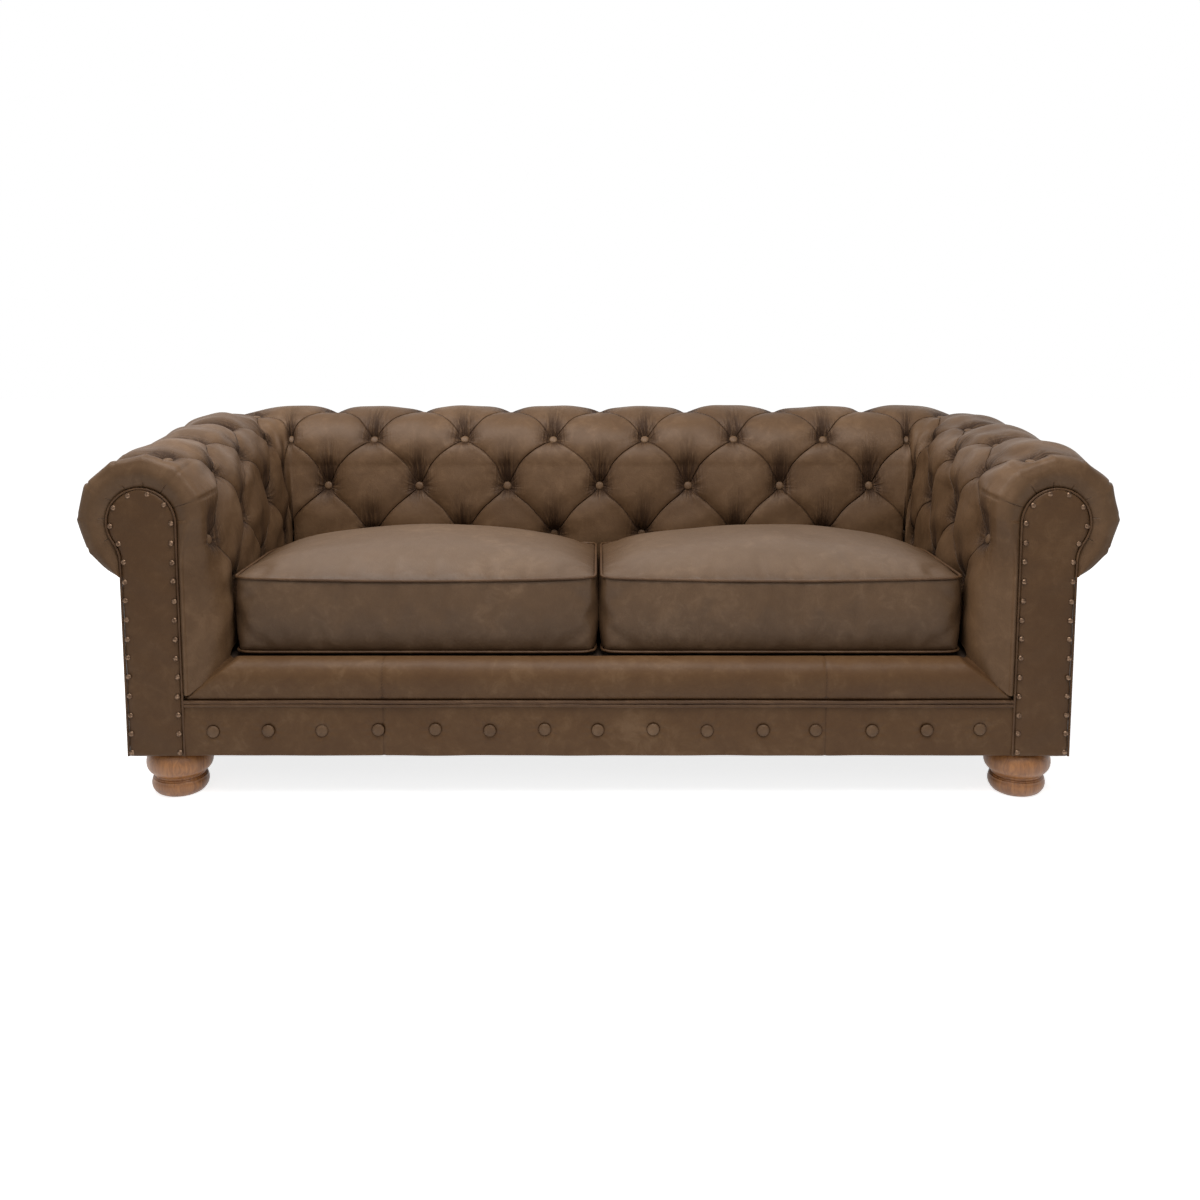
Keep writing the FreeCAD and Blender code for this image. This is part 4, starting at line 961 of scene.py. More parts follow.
@dataclass
class CoveredButton:
    """A leather-covered upholstery button with a rounded face and a tucked rim."""

    radius: float = 0.0112
    height: float = 0.0070
    segments: int = 20
    neck: float = 0.55
    plate: float = 0.001
    profile: tuple[tuple[float, float], ...] = (
        (0.86, 0.10), (1.0, 0.28), (0.98, 0.5), (0.86, 0.74), (0.64, 0.9), (0.36, 0.985), (0.1, 1.0))

    def build(self) -> bpy.types.Object:
        """One button on the origin, facing up."""
        deselect()
        bpy.ops.mesh.primitive_cylinder_add(vertices=self.segments, radius=self.radius * self.neck,
                                            depth=self.plate)
        button = bpy.context.object
        bpy.ops.object.mode_set(mode="EDIT")
        bpy.ops.mesh.select_all(action="DESELECT")
        bpy.ops.object.mode_set(mode="OBJECT")
        top = max(button.data.polygons, key=lambda face: face.center.z)
        top.select = True
        bpy.ops.object.mode_set(mode="EDIT")
        rings = [(share, self.height * rise) for share, rise in self.profile]
        draw_up([(self.neck, self.plate / 2)] + rings)
        bpy.ops.object.mode_set(mode="OBJECT")
        settled(button, "button")
        smooth(button)
        return button


# The arm facings

@dataclass
class ArmFacing:
    """The keyhole-shaped panel on an arm's front, with a welt round it and a row of antique nails."""

    side: int
    centre_x: float = 0.958
    head_z: float = 0.609
    head: float = 0.074
    outer: float = 0.048
    waist_z: float = 0.526
    waist: float = 0.0715
    neck_angle: float = 34.8
    bottom_z: float = 0.100
    face_y: float = -0.4745
    rear_y: float = -0.4640
    puff: float = 0.0035
    panel_inset: float = 0.0030
    welt_inset: float = 0.0014
    welt_radius: float = 0.0025
    nail_inset: float = 0.0100
    nail_pitch: float = 0.0410
    nail_radius: float = 0.0061
    nail_dome: float = 0.62

    def outline(self, inset: float, steps: int = 8) -> list[tuple[float, float]]:
        """The outline drawn in by inset: up the inner edge, round the head and down the outer edge."""
        head = self.head - inset
        waist = self.waist + inset
        hollow = (-(self.head + self.waist) * math.cos(math.radians(self.neck_angle)), self.waist_z)
        low = self.bottom_z + inset
        points = [(head, low + (self.head_z - self.bottom_z - inset) * i / 24) for i in range(25)]
        for i in range(1, 5 * steps + 1):
            turn = math.radians((180 + self.neck_angle) * i / (5 * steps))
            points.append((head * math.cos(turn), self.head_z + head * math.sin(turn)))
        for i in range(1, steps + 1):
            turn = math.radians(self.neck_angle * (1 - i / steps))
            points.append((hollow[0] + waist * math.cos(turn), hollow[1] + waist * math.sin(turn)))
        points += [(points[-1][0], self.waist_z + (low - self.waist_z) * i / 20) for i in range(1, 21)]
        return points

    def edges(self, z: Array, inset: float) -> tuple[Array, Array]:
        """The inner and outer edge at given heights."""
        head = self.head - inset
        waist = self.waist + inset
        up = np.clip(z - self.head_z, -head, head)
        round_half = np.sqrt(np.clip(head ** 2 - up ** 2, 0, None))
        inner = np.where(z > self.head_z, round_half, head)
        hollow = -(self.head + self.waist) * math.cos(math.radians(self.neck_angle))
        neck_z = self.head_z - head * math.sin(math.radians(self.neck_angle))
        arc = hollow + np.sqrt(np.clip(waist ** 2 - np.clip(z - self.waist_z, 0, waist) ** 2, 0, None))
        outer = np.where(z > neck_z, -round_half, np.where(z > self.waist_z, arc, -self.outer + inset))
        return inner, outer

    def panel(self, name: str) -> bpy.types.Object:
        """The padded leather panel."""
        head = self.head - self.panel_inset
        turn = np.linspace(-math.radians(self.neck_angle), math.pi / 2, 40)
        neck_z = self.head_z + head * math.sin(turn[0])
        top = self.head_z + self.head - self.panel_inset
        z = np.concatenate([np.linspace(self.bottom_z + 0.0005, self.waist_z, 90)[:-1],
                            np.linspace(self.waist_z, neck_z, 9)[:-1],
                            self.head_z + (top - self.head_z) * np.sin(turn)])
        across = np.concatenate([[-1.0, -1.0], np.linspace(-1, 1, 29), [1.0, 1.0]])
        back = np.concatenate([[1.0, 0.5], np.zeros(29), [0.5, 1.0]])
        u, zz = np.meshgrid(across, z)
        inner, outer = self.edges(zz, self.panel_inset)
        s = (inner + outer) / 2 + (inner - outer) / 2 * u
        edge = np.clip((1 - np.abs(u)) * (inner - outer) / 2 / 0.007, 0, 1)
        low = np.clip((zz - self.bottom_z) / 0.004, 0, 1)
        full = np.minimum(edge, low)
        y = self.face_y + 0.0035 * (1 - full) ** 2 - self.puff * (1 - u ** 4) * full
        y = y + (self.rear_y - y) * back
        x = -(self.centre_x - s)
        y = y - 0.0008 * drift(laid_flat(x, zz), 14.0, 21) * (back == 0)
        panel = shaped_sheet(name, x * -self.side, y, zz)
        face_outwards(panel)
        turn_towards(panel, (0.0, -1.0, 0.0))
        smooth(panel, 50.0)
        return panel

    def side_x(self, s: float) -> float:
        """The x of a place at a distance inward of the roll's middle, on this arm."""
        return (self.centre_x - s) * self.side

    def welt(self, name: str) -> bpy.types.Object:
        """The welt between the facing and the padding."""
        points = [(self.side_x(s), self.face_y + 0.0005, z) for s, z in self.outline(self.welt_inset)]
        return cord_along(name, points, self.welt_radius)

    def nail_places(self) -> list[Matrix]:
        """Where the nails stand, evenly along the outline."""
        points = np.array(self.outline(self.nail_inset))
        lengths = np.concatenate([[0.0], np.cumsum(np.linalg.norm(np.diff(points, axis=0), axis=1))])
        count = int(lengths[-1] / self.nail_pitch) + 1
        chance = np.random.default_rng(40 + self.side)
        made = []
        for along in np.linspace(0, lengths[-1], count):
            s = float(np.interp(along, lengths, points[:, 0])) + chance.normal() * 0.0006
            z = float(np.interp(along, lengths, points[:, 1])) + chance.normal() * 0.0009
            nod = Matrix.Rotation(chance.normal() * 0.06, 4, "X")
            tilt = nod @ Matrix.Rotation(chance.normal() * 0.06, 4, "Z")
            made.append(Matrix.Translation((self.side_x(s), self.face_y - 0.0020, z)) @ tilt)
        return made

    def nail(self) -> bpy.types.Object:
        """One domed nail head on the origin, facing forward."""
        deselect()
        bpy.ops.mesh.primitive_uv_sphere_add(segments=16, ring_count=10, radius=self.nail_radius)
        nail = bpy.context.object
        with editing(nail):
            bpy.ops.mesh.bisect(plane_co=(0, 0, 0), plane_no=(0, 0, 1), clear_inner=True, use_fill=True)
            bpy.ops.mesh.select_all(action="SELECT")
            bpy.ops.transform.resize(value=(1.0, 1.0, self.nail_dome), center_override=(0.0, 0.0, 0.0))
        nail.rotation_euler = (math.pi / 2, 0.0, 0.0)
        settled(nail, "nail")
        smooth(nail, 50.0)
        return nail


# The base front

@dataclass
class BaseFront:
    """The buttoned border, the double welt over it and the padded front edge."""

    half: float = 0.8837
    bottom_z: float = 0.100
    border_top: float = 0.2118
    border_y: float = -0.4710
    button_z: float = 0.157
    button_pitch: float = 0.117
    button_count: int = 15
    seams: tuple[float, float] = (-0.460, 0.485)
    welt_y: float = -0.4728
    welt_z: tuple[float, float] = (0.2128, 0.2206)
    welt_radius: float = 0.0041
    roll_low: float = 0.2262
    roll_high: float = 0.3105
    mitre: float = 0.108
    arm_front_y: float = -0.476
    arm_edge: float = 0.870
    arm_swell: float = 0.072
    arm_round: float = 0.070

    def seam_dip(self, x: Array, width: float) -> Array:
        """1 on the two upright seams, 0 away from them."""
        return sum(np.exp(-((x - seam) / width) ** 2) for seam in self.seams)

    def button_places(self) -> list[tuple[float, float]]:
        """The border buttons, each a little off its mark."""
        chance = np.random.default_rng(8)
        first = -(self.button_count // 2)
        return [((first + i) * self.button_pitch + chance.normal() * 0.0025,
                 self.button_z + chance.normal() * 0.0018) for i in range(self.button_count)]

    def border(self) -> bpy.types.Object:
        """The flat border, drawn in round each button."""
        z = np.concatenate([[self.bottom_z + 0.001, self.bottom_z],
                            np.linspace(self.bottom_z + 0.003, self.border_top, 54)])
        xx, zz = np.meshgrid(np.linspace(-self.half, self.half, 860), z)
        up = np.clip((zz - self.bottom_z) / (self.border_top - self.bottom_z), 0, 1)
        y = self.border_y - 0.0022 * np.sin(np.pi * up)
        y = y - 0.0010 * drift(laid_flat(xx, zz), 7.0, 31)
        painted_ring_shade = np.zeros(xx.shape)
        for bx, bz in self.button_places():
            distance = np.sqrt((xx - bx) ** 2 + (zz - bz) ** 2)
            turn = np.arctan2(zz - bz, xx - bx)
            y = y + 0.0042 * np.exp(-(distance / 0.0165) ** 4)
            y = y + 0.0005 * np.exp(-((distance - 0.024) / 0.010) ** 2) * np.sin(turn * 9 + bx * 60)
            # Painted shade: a dark ring round each button.
            painted_ring_shade = painted_ring_shade + 0.85 * np.exp(-((distance - 0.0136) / 0.0024) ** 2)
        y = y + 0.0022 * self.seam_dip(xx, 0.0035)
        y[0] += 0.007
        y[1] += 0.003
        border = shaped_sheet("front_border_cover", xx, y, zz)
        turn_towards(border, (0.0, -1.0, 0.0))
        # The seam mark: the upright seams, the painted shade rings and a darker line along the top under the
        # welt.
        low = np.exp(-((self.border_top - zz) / 0.005) ** 2)
        store(border, "seam", np.clip(self.seam_dip(xx, 0.0025) * 0.8 + painted_ring_shade + low, 0, 1))
        smooth(border)
        return border

    def double_welt(self) -> bpy.types.Object:
        """Two welts sewn side by side."""
        runs = []
        for index, z in enumerate(self.welt_z):
            x = np.linspace(-self.half, self.half, 160)
            points = np.stack([x, 0 * x + self.welt_y, z + 0 * x], axis=-1)
            points[:, 2] += 0.0006 * drift(points, 3.0, 50 + index)
            points[:, 1] += 0.0004 * drift(points, 9.0, 60 + index)
            runs.append(cord_along("welt_run", points.tolist(), self.welt_radius))
        return joined("double_welt", runs)

    def edge_roll(self) -> bpy.types.Object:
        """The padded edge under the cushions, mitred at its ends against the arms."""
        profile = np.array([
            (-0.4640, 0.2190), (-0.4690, 0.2235), (-0.4735, 0.2300), (-0.4765, 0.2420), (-0.4785, 0.2560),
            (-0.4785, 0.2690), (-0.4765, 0.2810), (-0.4715, 0.2920), (-0.4635, 0.3010), (-0.4520, 0.3070),
            (-0.4400, 0.3095), (-0.4270, 0.3085), (-0.4150, 0.3030), (-0.4100, 0.2950)])
        lengths = np.concatenate([[0.0], np.cumsum(np.linalg.norm(np.diff(profile, axis=0), axis=1))])
        t = np.linspace(0, lengths[-1], 44)
        py = np.interp(t, lengths, profile[:, 0])
        pz = np.interp(t, lengths, profile[:, 1])
        for _ in range(3):
            py[1:-1] = (py[:-2] + 2 * py[1:-1] + py[2:]) / 4
            pz[1:-1] = (pz[:-2] + 2 * pz[1:-1] + pz[2:]) / 4
        tucked = np.array([0.25, 0.5, 0.75, 1.0])
        u = np.concatenate([-np.ones(4), np.linspace(-1, 1, 380), np.ones(4)])
        tuck = np.concatenate([tucked[::-1], np.zeros(380), tucked])
        uu, yy = np.meshgrid(u, py)
        zz = np.broadcast_to(pz[:, None], uu.shape)
        up = np.clip((zz - self.roll_low) / (self.roll_high - self.roll_low), 0, 1)
        reach = self.half - up * self.mitre + 0.003
        xx = uu * reach
        end = np.clip((1 - np.abs(uu)) * reach / 0.012, 0, 1)
        flat = laid_flat(xx, zz)
        swell = 0.0016 * drift(flat, 3.0, 71) + 0.0007 * drift(flat, 12.0, 72)
        swell = swell - 0.0030 * self.seam_dip(xx, 0.0035)
        swell = swell * np.clip((zz - self.roll_low) / 0.012, 0.12, 1)
        swell = swell - 0.010 * (1 - end) ** 2
        y = yy - swell
        z = zz + swell * 0.5 * np.clip((zz - 0.28) / 0.03, 0, 1)
        depth = np.clip(yy - self.arm_front_y, 0, self.arm_round)
        arm_x = self.arm_edge - self.arm_swell * np.sqrt(1 - (1 - depth / self.arm_round) ** 2)
        xx = xx + np.sign(uu) * tuck * np.maximum(arm_x + 0.003 - reach, 0.0)
        y = y + 0.012 * np.sin(np.pi / 2 * tuck)
        z = z - 0.006 * np.sin(np.pi * tuck)
        roll = shaped_sheet("edge_roll_cover", xx, y, z)
        turn_towards(roll, (0.0, -1.0, 0.3))
        # The seam mark: the upright seams, painted shade in the tucked ends against the arms, and a darker
        # line along the lowest edge.
        low = np.exp(-(np.clip(zz - self.roll_low, 0, 1) / 0.005) ** 2)
        store(roll, "seam", np.clip(self.seam_dip(xx, 0.0035) * 0.8 + (1 - end) * 0.7 + low, 0, 1))
        smooth(roll)
        return roll


# The outside

@dataclass
class Outside:
    """The plain leather outside of the arms and back, under the roll."""

    low_z: float = 0.100
    high_z: float = 0.4935
    offset: float = 0.048
    front_y: float = -0.4645

    def build(self, padding: TuftedPadding) -> bpy.types.Object:
        """One cover round the outside, with an upright seam at each end of the rear corners."""
        end = padding.arm_front - (self.front_y - padding.front_y)
        along = np.linspace(-end, end, 620)
        z = np.concatenate([[self.low_z + 0.001, self.low_z],
                            np.linspace(self.low_z + 0.003, self.high_z, 64)])
        aa, zz = np.meshgrid(along, z)
        run = np.abs(aa)
        seams = sum(np.exp(-((run - padding.straight - past) / 0.004) ** 2) for past in (padding.bend, 0.0))
        puff = 0.0030 * np.sin(np.pi * np.clip((zz - self.low_z) / (self.high_z - self.low_z), 0, 1))
        inset = -puff - 0.0012 * drift(laid_flat(aa, zz), 2.5, 81) + 0.0020 * seams
        inset[0] += 0.008
        points = padding.on_line(aa, -self.offset + inset, zz)
        cover = shaped_sheet("outside_cover", *np.moveaxis(points, -1, 0))
        store(cover, "seam", np.clip(seams, 0, 1))
        turn_towards(cover, (0.0, 1.0, 0.0))
        smooth(cover)
        return cover


# The seat

@dataclass
class SeatCushion:
    """A loose boxed cushion: crowned top, piped seams, gathered corners."""

    side: int
    inner_x: float = 0.005
    outer_x: float = 0.790
    front_y: float = -0.406
    rear_y: float = 0.168
    bottom_z: float = 0.2968
    lower_seam: float = 0.309
    upper_seam: float = 0.474
    crown: float = 0.052
    tip: float = 3.4
    slump: float = 0.018
    slump_start: float = 0.30
    belly: float = 0.0115
    squareness: float = 30.0
    cell: float = 0.0125
    piping: float = 0.0030
    piping_out: float = 0.0012
    corner_draw: float = 0.0030
    play: float = 0.0025
    sag: float = 0.007
    seam_reach: float = 0.3
    pressure: float = 3.2
    fill_frames: int = 20
    fill_limit: float = 0.016

    def plan(self, u: Array, v: Array, inset: Array) -> tuple[Array, Array]:
        """Plan places for square coordinates from -1 to 1, with rounded corners."""
        half_x = (self.outer_x - self.inner_x) / 2 - inset
        half_y = (self.rear_y - self.front_y) / 2 - inset
        size = np.maximum(np.abs(u), np.abs(v))
        length = (np.abs(u) ** self.squareness + np.abs(v) ** self.squareness) ** (1 / self.squareness)
        squeeze = np.where(length > 1e-9, size / np.maximum(length, 1e-9), 1.0)
        return u * squeeze * half_x, v * squeeze * half_y

    def middle(self) -> tuple[float, float]:
        """The cushion's middle in plan."""
        return self.side * (self.inner_x + self.outer_x) / 2, (self.front_y + self.rear_y) / 2

    def tipped(self, points: Array, share: Array) -> Array:
        """Leans points back by a share of the cushion's slope; the rear edge sinks a little more."""
        out = points.copy()
        back = points[..., 1] - self.front_y
        rear = eased((back - self.slump_start) / (self.rear_y - self.front_y - self.slump_start))
        out[..., 2] -= (back * math.tan(math.radians(self.tip)) + self.slump * rear) * share
        return out

    def seam_run(self, z: float, share: float, count: int = 420) -> list[list[float]]:
        """The run of a piped seam.

        Args:
            z: height of the seam.
            share: how much of the cushion's slope and sag it follows.
            count: points along it.

        Returns:
            The points, once round.
        """
        turn = np.linspace(0, 4, count, endpoint=False)
        leg = np.floor(turn).astype(int)
        part = (turn - leg) * 2 - 1
        one = np.ones(count)
        u = np.choose(leg, [part, one, -part, -one])
        v = np.choose(leg, [-one, part, one, -part])
        x, y = self.plan(u, v, self.play - self.piping_out + self.corner_draw * np.abs(u * v) ** 22)
        cx, cy = self.middle()
        points = np.stack([x + cx, y + cy, 0 * x + z], axis=-1)
        sag = self.sag * np.cos(np.clip(u, -1, 1) * math.pi / 2) * (v < -0.98) * share
        points[:, 2] -= sag
        return self.tipped(points, share * np.ones(count)).tolist()

    def block(self, name: str) -> bpy.types.Object:
        """The cushion before it is filled: a closed box of even cells with a low crown."""
        deselect()
        bpy.ops.mesh.primitive_cube_add(size=2.0)
        box = bpy.context.object
        width = self.outer_x - self.inner_x
        depth = self.rear_y - self.front_y
        height = self.upper_seam - self.lower_seam
        counts = [round(width / self.cell), round(depth / self.cell), round(height / self.cell)]
        for axis, count in enumerate(counts):
            self.slice_box(box, axis, count)
        u, v, w = points_of(box).T
        x, y = self.plan(u, v, np.full(len(u), self.play))
        share = (w + 1) / 2
        z = self.lower_seam + share * height
        top = w > 0.999
        low = w < -0.999
        dome_x = np.clip(np.cos(u * np.pi / 2), 0, 1)
        dome_y = np.clip(np.cos(v * np.pi / 2), 0, 1)
        z = np.where(top, z + self.crown * dome_x ** 0.85 * dome_y ** 0.6, z)
        z = np.where(low, z - self.belly * np.clip(dome_x * dome_y * 6, 0, 1), z)
        front = (v < -0.98) & ~low
        z = z - self.sag * np.cos(u * math.pi / 2) * share * front
        cx, cy = self.middle()
        place_points(box, self.tipped(np.stack([x + cx, y + cy, z], axis=-1), share))
        on_u, on_v, on_w = (np.abs(np.abs(place) - 1) < 1e-4 for place in (u, v, w))
        on_edge = on_w & (on_u | on_v)
        held = box.vertex_groups.new(name="held")
        held.add([int(i) for i in np.nonzero(on_edge | low)[0]], 1.0, "REPLACE")
        away = np.minimum(1 - np.abs(u), 1 - np.abs(v))
        on_face = np.exp(-(away * self.seam_reach / 0.02) ** 2)
        on_wall = np.exp(-(np.minimum(share, 1 - share) * height / 0.014) ** 2)
        store(box, "seam", np.where(top | low, on_face, on_wall))
        box.name = name
        return box

    def slice_box(self, box: bpy.types.Object, axis: int, count: int) -> None:
        """Cuts the box into even slices across one axis."""
        normal = tuple(1.0 if i == axis else 0.0 for i in range(3))
        with editing(box):
            for step in range(1, count):
                bpy.ops.mesh.select_all(action="SELECT")
                place = tuple(n * (2 * step / count - 1) for n in normal)
                bpy.ops.mesh.bisect(plane_co=place, plane_no=normal)

    def fill(self, box: bpy.types.Object) -> None:
        """Blows the leather up between its seams."""
        cloth = only(box).modifiers.new("Filling", "CLOTH")
        settings = cloth.settings
        settings.vertex_group_mass = "held"
        settings.use_pressure = True
        settings.uniform_pressure_force = self.pressure
        settings.quality = 5
        settings.mass = 0.4
        settings.tension_stiffness = 22.0
        settings.compression_stiffness = 18.0
        settings.shear_stiffness = 8.0
        settings.bending_stiffness = 1.6
        settings.shrink_min = -0.012
        settings.effector_weights.gravity = 0.0
        cloth.collision_settings.use_collision = False
        cloth.point_cache.frame_start = 1
        cloth.point_cache.frame_end = self.fill_frames
        before = points_of(box)
        for frame_number in range(1, self.fill_frames + 1):
            bpy.context.scene.frame_set(frame_number)
        bpy.ops.object.modifier_apply(modifier=cloth.name)
        moved = points_of(box) - before
        length = np.linalg.norm(moved, axis=1, keepdims=True)
        place_points(box, before + moved * np.minimum(1.0, self.fill_limit / np.maximum(length, 1e-9)))
        bpy.context.scene.frame_set(1)

    def build(self, name: str) -> bpy.types.Object:
        """The filled case."""
        case = self.block(name)
        self.fill(case)
        finer = only(case).modifiers.new("Finer", "SUBSURF")
        finer.levels = finer.render_levels = 1
        bpy.ops.object.modifier_apply(modifier=finer.name)
        points = points_of(case)
        points[:, 2] = np.maximum(points[:, 2], self.bottom_z)
        points[:, 2] += 0.0012 * drift(points, 5.0, 90 + self.side) * (points[:, 2] > 0.42)
        place_points(case, points)
        smooth(case)
        return case

    def welts(self, name: str) -> bpy.types.Object:
        """Both piped seams."""
        upper = cord_along("upper_welt", self.seam_run(self.upper_seam, 1.0), self.piping, closed=True)
        lower = cord_along("lower_welt", self.seam_run(self.lower_seam, 0.0), self.piping, closed=True)
        return joined(name, [upper, lower])


@dataclass
class Deck:
    """The cloth-covered deck under the cushions."""

    half: float = 0.892
    front_y: float = -0.4105
    rear_y: float = 0.273
    top_z: float = 0.2955
    turned_down: float = 0.02

    def build(self) -> bpy.types.Object:
        """A flat cloth with its edges turned down."""
        x = np.concatenate([[-self.half], np.linspace(-self.half, self.half, 120), [self.half]])
        y = np.concatenate([[self.front_y], np.linspace(self.front_y, self.rear_y, 50), [self.rear_y]])
        xx, yy = np.meshgrid(x, y)
        zz = np.full(xx.shape, self.top_z)
        for edge in (zz[0], zz[-1], zz[:, 0], zz[:, -1]):
            edge -= self.turned_down
        deck = shaped_sheet("deck", xx, yy, zz)
        smooth(deck, 50.0)
        return deck


# The feet

@dataclass
class BunFoot:
    """A turned bun foot with a ring and two fine beads at its waist."""

    segments: int = 72
    profile: tuple[tuple[float, float], ...] = (
        (0.0440, 0.0000), (0.0472, 0.0010), (0.0517, 0.0036), (0.0557, 0.0082), (0.0590, 0.0138),
        (0.0607, 0.0200), (0.0608, 0.0255), (0.0596, 0.0300), (0.0583, 0.0322), (0.0586, 0.0337),
        (0.0578, 0.0351), (0.0562, 0.0360), (0.0567, 0.0374), (0.0557, 0.0390), (0.0542, 0.0397),
        (0.0540, 0.0405), (0.0551, 0.0420), (0.0548, 0.0433), (0.0560, 0.0446), (0.0603, 0.0482),
        (0.0646, 0.0522), (0.0680, 0.0570), (0.0702, 0.0628), (0.0710, 0.0690), (0.0706, 0.0758),
        (0.0690, 0.0825), (0.0662, 0.0890), (0.0625, 0.0945), (0.0580, 0.0998))

    def build(self) -> bpy.types.Object:
        """One foot standing on the origin."""
        deselect()
        bpy.ops.mesh.primitive_circle_add(vertices=self.segments, radius=self.profile[0][0],
                                          fill_type="NGON")
        foot = bpy.context.object
        with editing(foot):
            draw_up(self.profile)
        face_outwards(foot, 1e-6)
        settled(foot, "foot")
        smooth(foot, 50.0)
        return foot


# The picture

@dataclass(frozen=True)
class Studio:
    """Camera, soft lamps, pale floor and white backdrop."""

    camera_place: Point = (0.0, -3.205, 1.186)
    camera_tilt: float = 82.8
    lens: float = 39.9
    shift: tuple[float, float] = (0.00125, -0.1558)
    world_colour: Colour = (1.0, 0.99, 0.975)
    world_strength: float = 0.25
    floor_colour: Colour = (0.86, 0.86, 0.86)
    floor_glow: float = 0.80

    def camera(self) -> None:
        """The camera at the photograph's viewing angle."""
        deselect()
        tilt = math.radians(self.camera_tilt)
        bpy.ops.object.camera_add(location=self.camera_place, rotation=(tilt, 0.0, 0.0))
        camera = bpy.context.object
        camera.data.sensor_width = 36.0
        camera.data.lens = self.lens
        camera.data.shift_x, camera.data.shift_y = self.shift
        camera.data.clip_end = 60.0
        bpy.context.scene.camera = camera

    def lamp(self, name: str, place: Point, towards: Point, size: tuple[float, float],
             power: float) -> None:
        """A rectangular soft lamp."""
        deselect()
        bpy.ops.object.light_add(type="AREA", location=place)
        lamp = bpy.context.object
        lamp.name = name
        lamp.data.shape = "RECTANGLE"
        lamp.data.size, lamp.data.size_y = size
        lamp.data.energy = power
        lamp.rotation_mode = "QUATERNION"
        lamp.rotation_quaternion = (Vector(towards) - Vector(place)).to_track_quat("-Z", "Y")

    def seen(self, shade: Shade) -> Value:
        """1 for rays from the camera, in reflections and through glass."""
        camera, glossy, through = (
            Value(shade, shade.node("ShaderNodeLightPath").outputs[kind])
            for kind in ("Is Camera Ray", "Is Glossy Ray", "Is Transmission Ray"))
        return shade.math("MAXIMUM", shade.math("MAXIMUM", camera, glossy), through)

    def floor(self) -> bpy.types.Object:
        """A pale floor that keeps the sofa's shadow."""
        deselect()
        bpy.ops.mesh.primitive_plane_add(size=14.0, location=(0.0, 0.0, 0.0))
        floor = bpy.context.object
        floor.name = "floor"
        shade = Shade(bpy.data.materials.new("pale_floor"))
        matt = shade.node("ShaderNodeBsdfDiffuse", {}, {"Color": (*self.floor_colour, 1.0)}).outputs[0]
        glow = shade.node("ShaderNodeEmission", {}, {"Strength": self.floor_glow}).outputs[0]
        both = shade.node("ShaderNodeAddShader", {}, {0: matt, 1: glow}).outputs[0]
        chosen = shade.node("ShaderNodeMixShader", {}, {0: self.seen(shade), 1: matt, 2: both})
        shade.node("ShaderNodeOutputMaterial", {}, {"Surface": chosen.outputs[0]})
        floor.data.materials.append(shade.owner)
        return floor

    def world(self) -> None:
        """A backdrop that is white where it is seen and lights the sofa more softly."""
        world = bpy.data.worlds.new("studio")
        bpy.context.scene.world = world
        shade = Shade(world)
        light = shade.node("ShaderNodeBackground", {}, {
            "Color": (*self.world_colour, 1.0), "Strength": self.world_strength})
        white = shade.node("ShaderNodeBackground", {}, {"Color": (1.0, 1.0, 1.0, 1.0)})
        chosen = shade.node("ShaderNodeMixShader", {}, {
            0: self.seen(shade), 1: light.outputs[0], 2: white.outputs[0]})
        shade.node("ShaderNodeOutputWorld", {}, {"Surface": chosen.outputs[0]})

    def build(self) -> None:
        """Sets up the whole studio."""
        bpy.context.scene.view_settings.view_transform = "Standard"
        self.camera()
        self.world()
        self.lamp("overhead", (-0.35, -0.85, 2.6), (0.0, -0.2, 0.3), (3.8, 1.5), 112.0)
        self.lamp("front_fill", (-0.5, -4.0, 2.3), (0.0, 0.0, 0.35), (3.4, 1.8), 14.0)
        self.floor()


# Putting it together

FINISHES = {
    "tufted_leather": Leather("tufted_leather", relief=Relief.TUFTED),
    "cushion_leather": Leather(
        "cushion_leather", linear(86, 65, 46), linear(75, 55, 37), linear(102, 80, 60),
        roughness=0.46, relief=Relief.PUCKERED, seam_and_shade_darkness=0.2, shine=0.22, highlight_and_wear_above=0.462),
    "plain_leather": Leather(
        "plain_leather", linear(87, 63, 40), linear(75, 52, 32), relief=Relief.PUCKERED, shine=0.14),
    "facing_leather": Leather(
        "facing_leather", linear(81, 58, 37), linear(72, 50, 31), linear(94, 70, 48), shine=0.14),
    "welt_leather": Leather(
        "welt_leather", linear(82, 59, 39), linear(68, 47, 30), linear(98, 73, 51)),
    "button_leather": Leather(
        "button_leather", linear(98, 75, 54), linear(78, 57, 39), linear(118, 94, 72)),
    "foot_wood": Wood("foot_wood", linear(150, 99, 52), linear(115, 71, 34)),
    "frame_wood": Wood(
        "frame_wood", linear(205, 178, 138), linear(170, 138, 98), (2.2, 26.0, 26.0), 0.7),
    "antique_nail": Metal("antique_nail", linear(118, 96, 78), linear(72, 55, 43), 0.40),
    "bolt_steel": Metal("bolt_steel", linear(180, 180, 182), linear(120, 120, 122), 0.3),
    "zip_brass": Metal("zip_brass", linear(176, 150, 100), linear(120, 94, 58), 0.3),
    "deck_cloth": Cloth("deck_cloth", linear(58, 44, 34), linear(38, 28, 20)),
    "lining_cloth": Cloth("lining_cloth", linear(30, 30, 30), linear(16, 16, 16)),
    "zip_tape": Cloth("zip_tape", linear(60, 44, 32), linear(38, 27, 18), 2400.0),
    "webbing": Cloth("webbing", linear(190, 176, 142), linear(140, 124, 92), 1500.0),
}
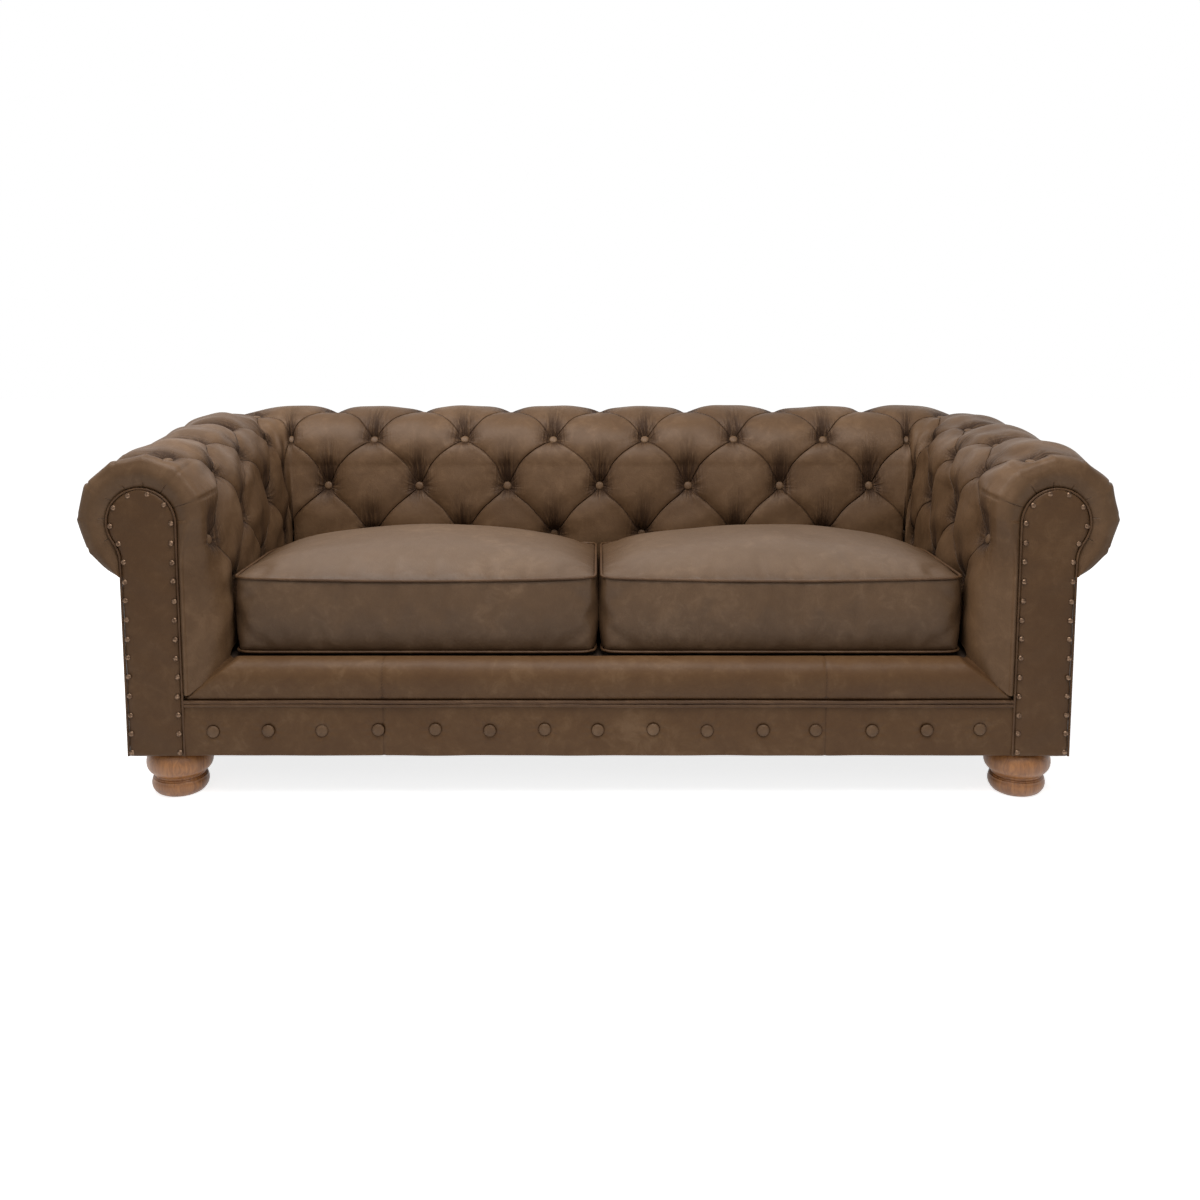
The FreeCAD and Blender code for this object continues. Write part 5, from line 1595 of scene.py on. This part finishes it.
NODE_FINISHES = {
    "frame_wood": (
        "front_rail", "back_rail", "left_side_rail", "right_side_rail", "rear_corner_rails",
        "centre_stretcher", "left_arm_post", "right_arm_post", "uprights", "left_arm_top_rail",
        "right_arm_top_rail", "back_top_rail", "corner_top_rails", "stuffing_rails", "foot_blocks",
        "tacking_strips"),
    "webbing": ("seat_webbing_long", "seat_webbing_cross", "arm_and_back_webbing"),
    "lining_cloth": ("bottom_lining",),
    "bolt_steel": ("hanger_bolts",),
    "zip_tape": ("left_cushion_zip", "right_cushion_zip"),
    "zip_brass": ("left_zip_slider", "right_zip_slider"),
}


class Sofa:
    """The whole dressed sofa."""

    def __init__(self, frame: dict) -> None:
        """Keeps the frame and makes every finish."""
        self.nodes = frame["nodes"]
        self.materials = {name: finish.material() for name, finish in FINISHES.items()}

    def fixed(self, thing: bpy.types.Object, finish: str, nodes: Sequence[str]) -> bpy.types.Object:
        """Dresses a piece that stays on the frame."""
        return dress(thing, self.materials[finish], FRAME_BODY, nodes)

    def padding(self) -> None:
        """The tufted cover and its buttons, and the outside."""
        padding = TuftedPadding()
        cover = self.fixed(padding.build(), "tufted_leather", (
            "back_cover", "left_arm_cover", "right_arm_cover", "left_corner_cover",
            "right_corner_cover", "back_foam", "left_arm_foam", "right_arm_foam", "left_corner_foam",
            "right_corner_foam"))
        groups = {"left_arm_buttons": [], "right_arm_buttons": [], "back_buttons": []}
        for station, place in padding.buttons():
            name = "left_arm_buttons" if station > 0 else "right_arm_buttons"
            if abs(station) <= padding.back_stations:
                name = "back_buttons"
            groups[name].append(place)
        for name, places in groups.items():
            made = copies(name + "_covered", CoveredButton().build(), places)
            self.fixed(made, "button_leather", (name,))
        self.fixed(Outside().build(padding), "plain_leather",
                   ("left_outside_panel", "right_outside_panel", "outside_back_panel"))

    def facings(self) -> None:
        """Both arm facings with their welts and nails."""
        places = []
        for word, side in SIDES:
            facing = ArmFacing(side)
            name = word + "_facing"
            self.fixed(facing.panel(name + "_panel"), "facing_leather", (name,))
            self.fixed(facing.welt(name + "_cord"), "welt_leather", (name + "_welt",))
            places += facing.nail_places()
        nails = copies("antique_nails", ArmFacing(1).nail(), places)
        self.fixed(nails, "antique_nail", ("nail_heads",))

    def base(self) -> None:
        """The front border with its welt, buttons and padded edge."""
        front = BaseFront()
        self.fixed(front.border(), "plain_leather", ("front_border",))
        self.fixed(front.double_welt(), "welt_leather", ("border_welt",))
        roll = self.fixed(front.edge_roll(), "plain_leather", ("front_edge_roll",))
        upright = Matrix.Rotation(math.pi / 2, 4, "X")
        face_y = front.border_y + 0.0012
        places = [Matrix.Translation((x, face_y, z)) @ upright for x, z in front.button_places()]
        buttons = copies("border_buttons_covered", CoveredButton(0.0130, 0.0062).build(), places)
        self.fixed(buttons, "button_leather", ("border_buttons",))

    def feet(self) -> None:
        """The four turned feet, each with its grain turned another way."""
        for name, (x, y) in FOOT_PLACES.items():
            places = [Matrix.Translation((side * x, y, 0.0)) @ Matrix.Rotation(side * x * 2.0 + y, 4, "Z")
                      for _, side in SIDES]
            feet = copies(name + "_turned", BunFoot().build(), places)
            self.fixed(feet, "foot_wood", (name,))

    def seat(self) -> None:
        """The deck and the two loose cushions."""
        deck = self.fixed(Deck().build(), "deck_cloth", ("deck_cloth", "deck_foam"))
        for word, side in SIDES:
            cushion = SeatCushion(side)
            body = word + "_cushion"
            case = dress(cushion.build(body + "_cover"), self.materials["cushion_leather"], body,
                         (body + "_case", body + "_foam"))
            dress(cushion.welts(body + "_welts"), self.materials["welt_leather"], body,
                  (body + "_piping",))

    def carried_over(self) -> None:
        """Finishes on the CAD nodes that show as they are."""
        for finish, names in NODE_FINISHES.items():
            for name in names:
                node = self.nodes[name]
                node.data.materials.clear()
                node.data.materials.append(self.materials[finish])


def main() -> None:
    """Builds the sofa round the frame."""
    logging.basicConfig(level=logging.INFO, format="%(name)s %(message)s")
    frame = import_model()
    sofa = Sofa(frame)
    sofa.carried_over()
    sofa.padding()
    sofa.facings()
    sofa.base()
    sofa.feet()
    sofa.seat()
    Studio().build()


if __name__ == "__main__":
    main()
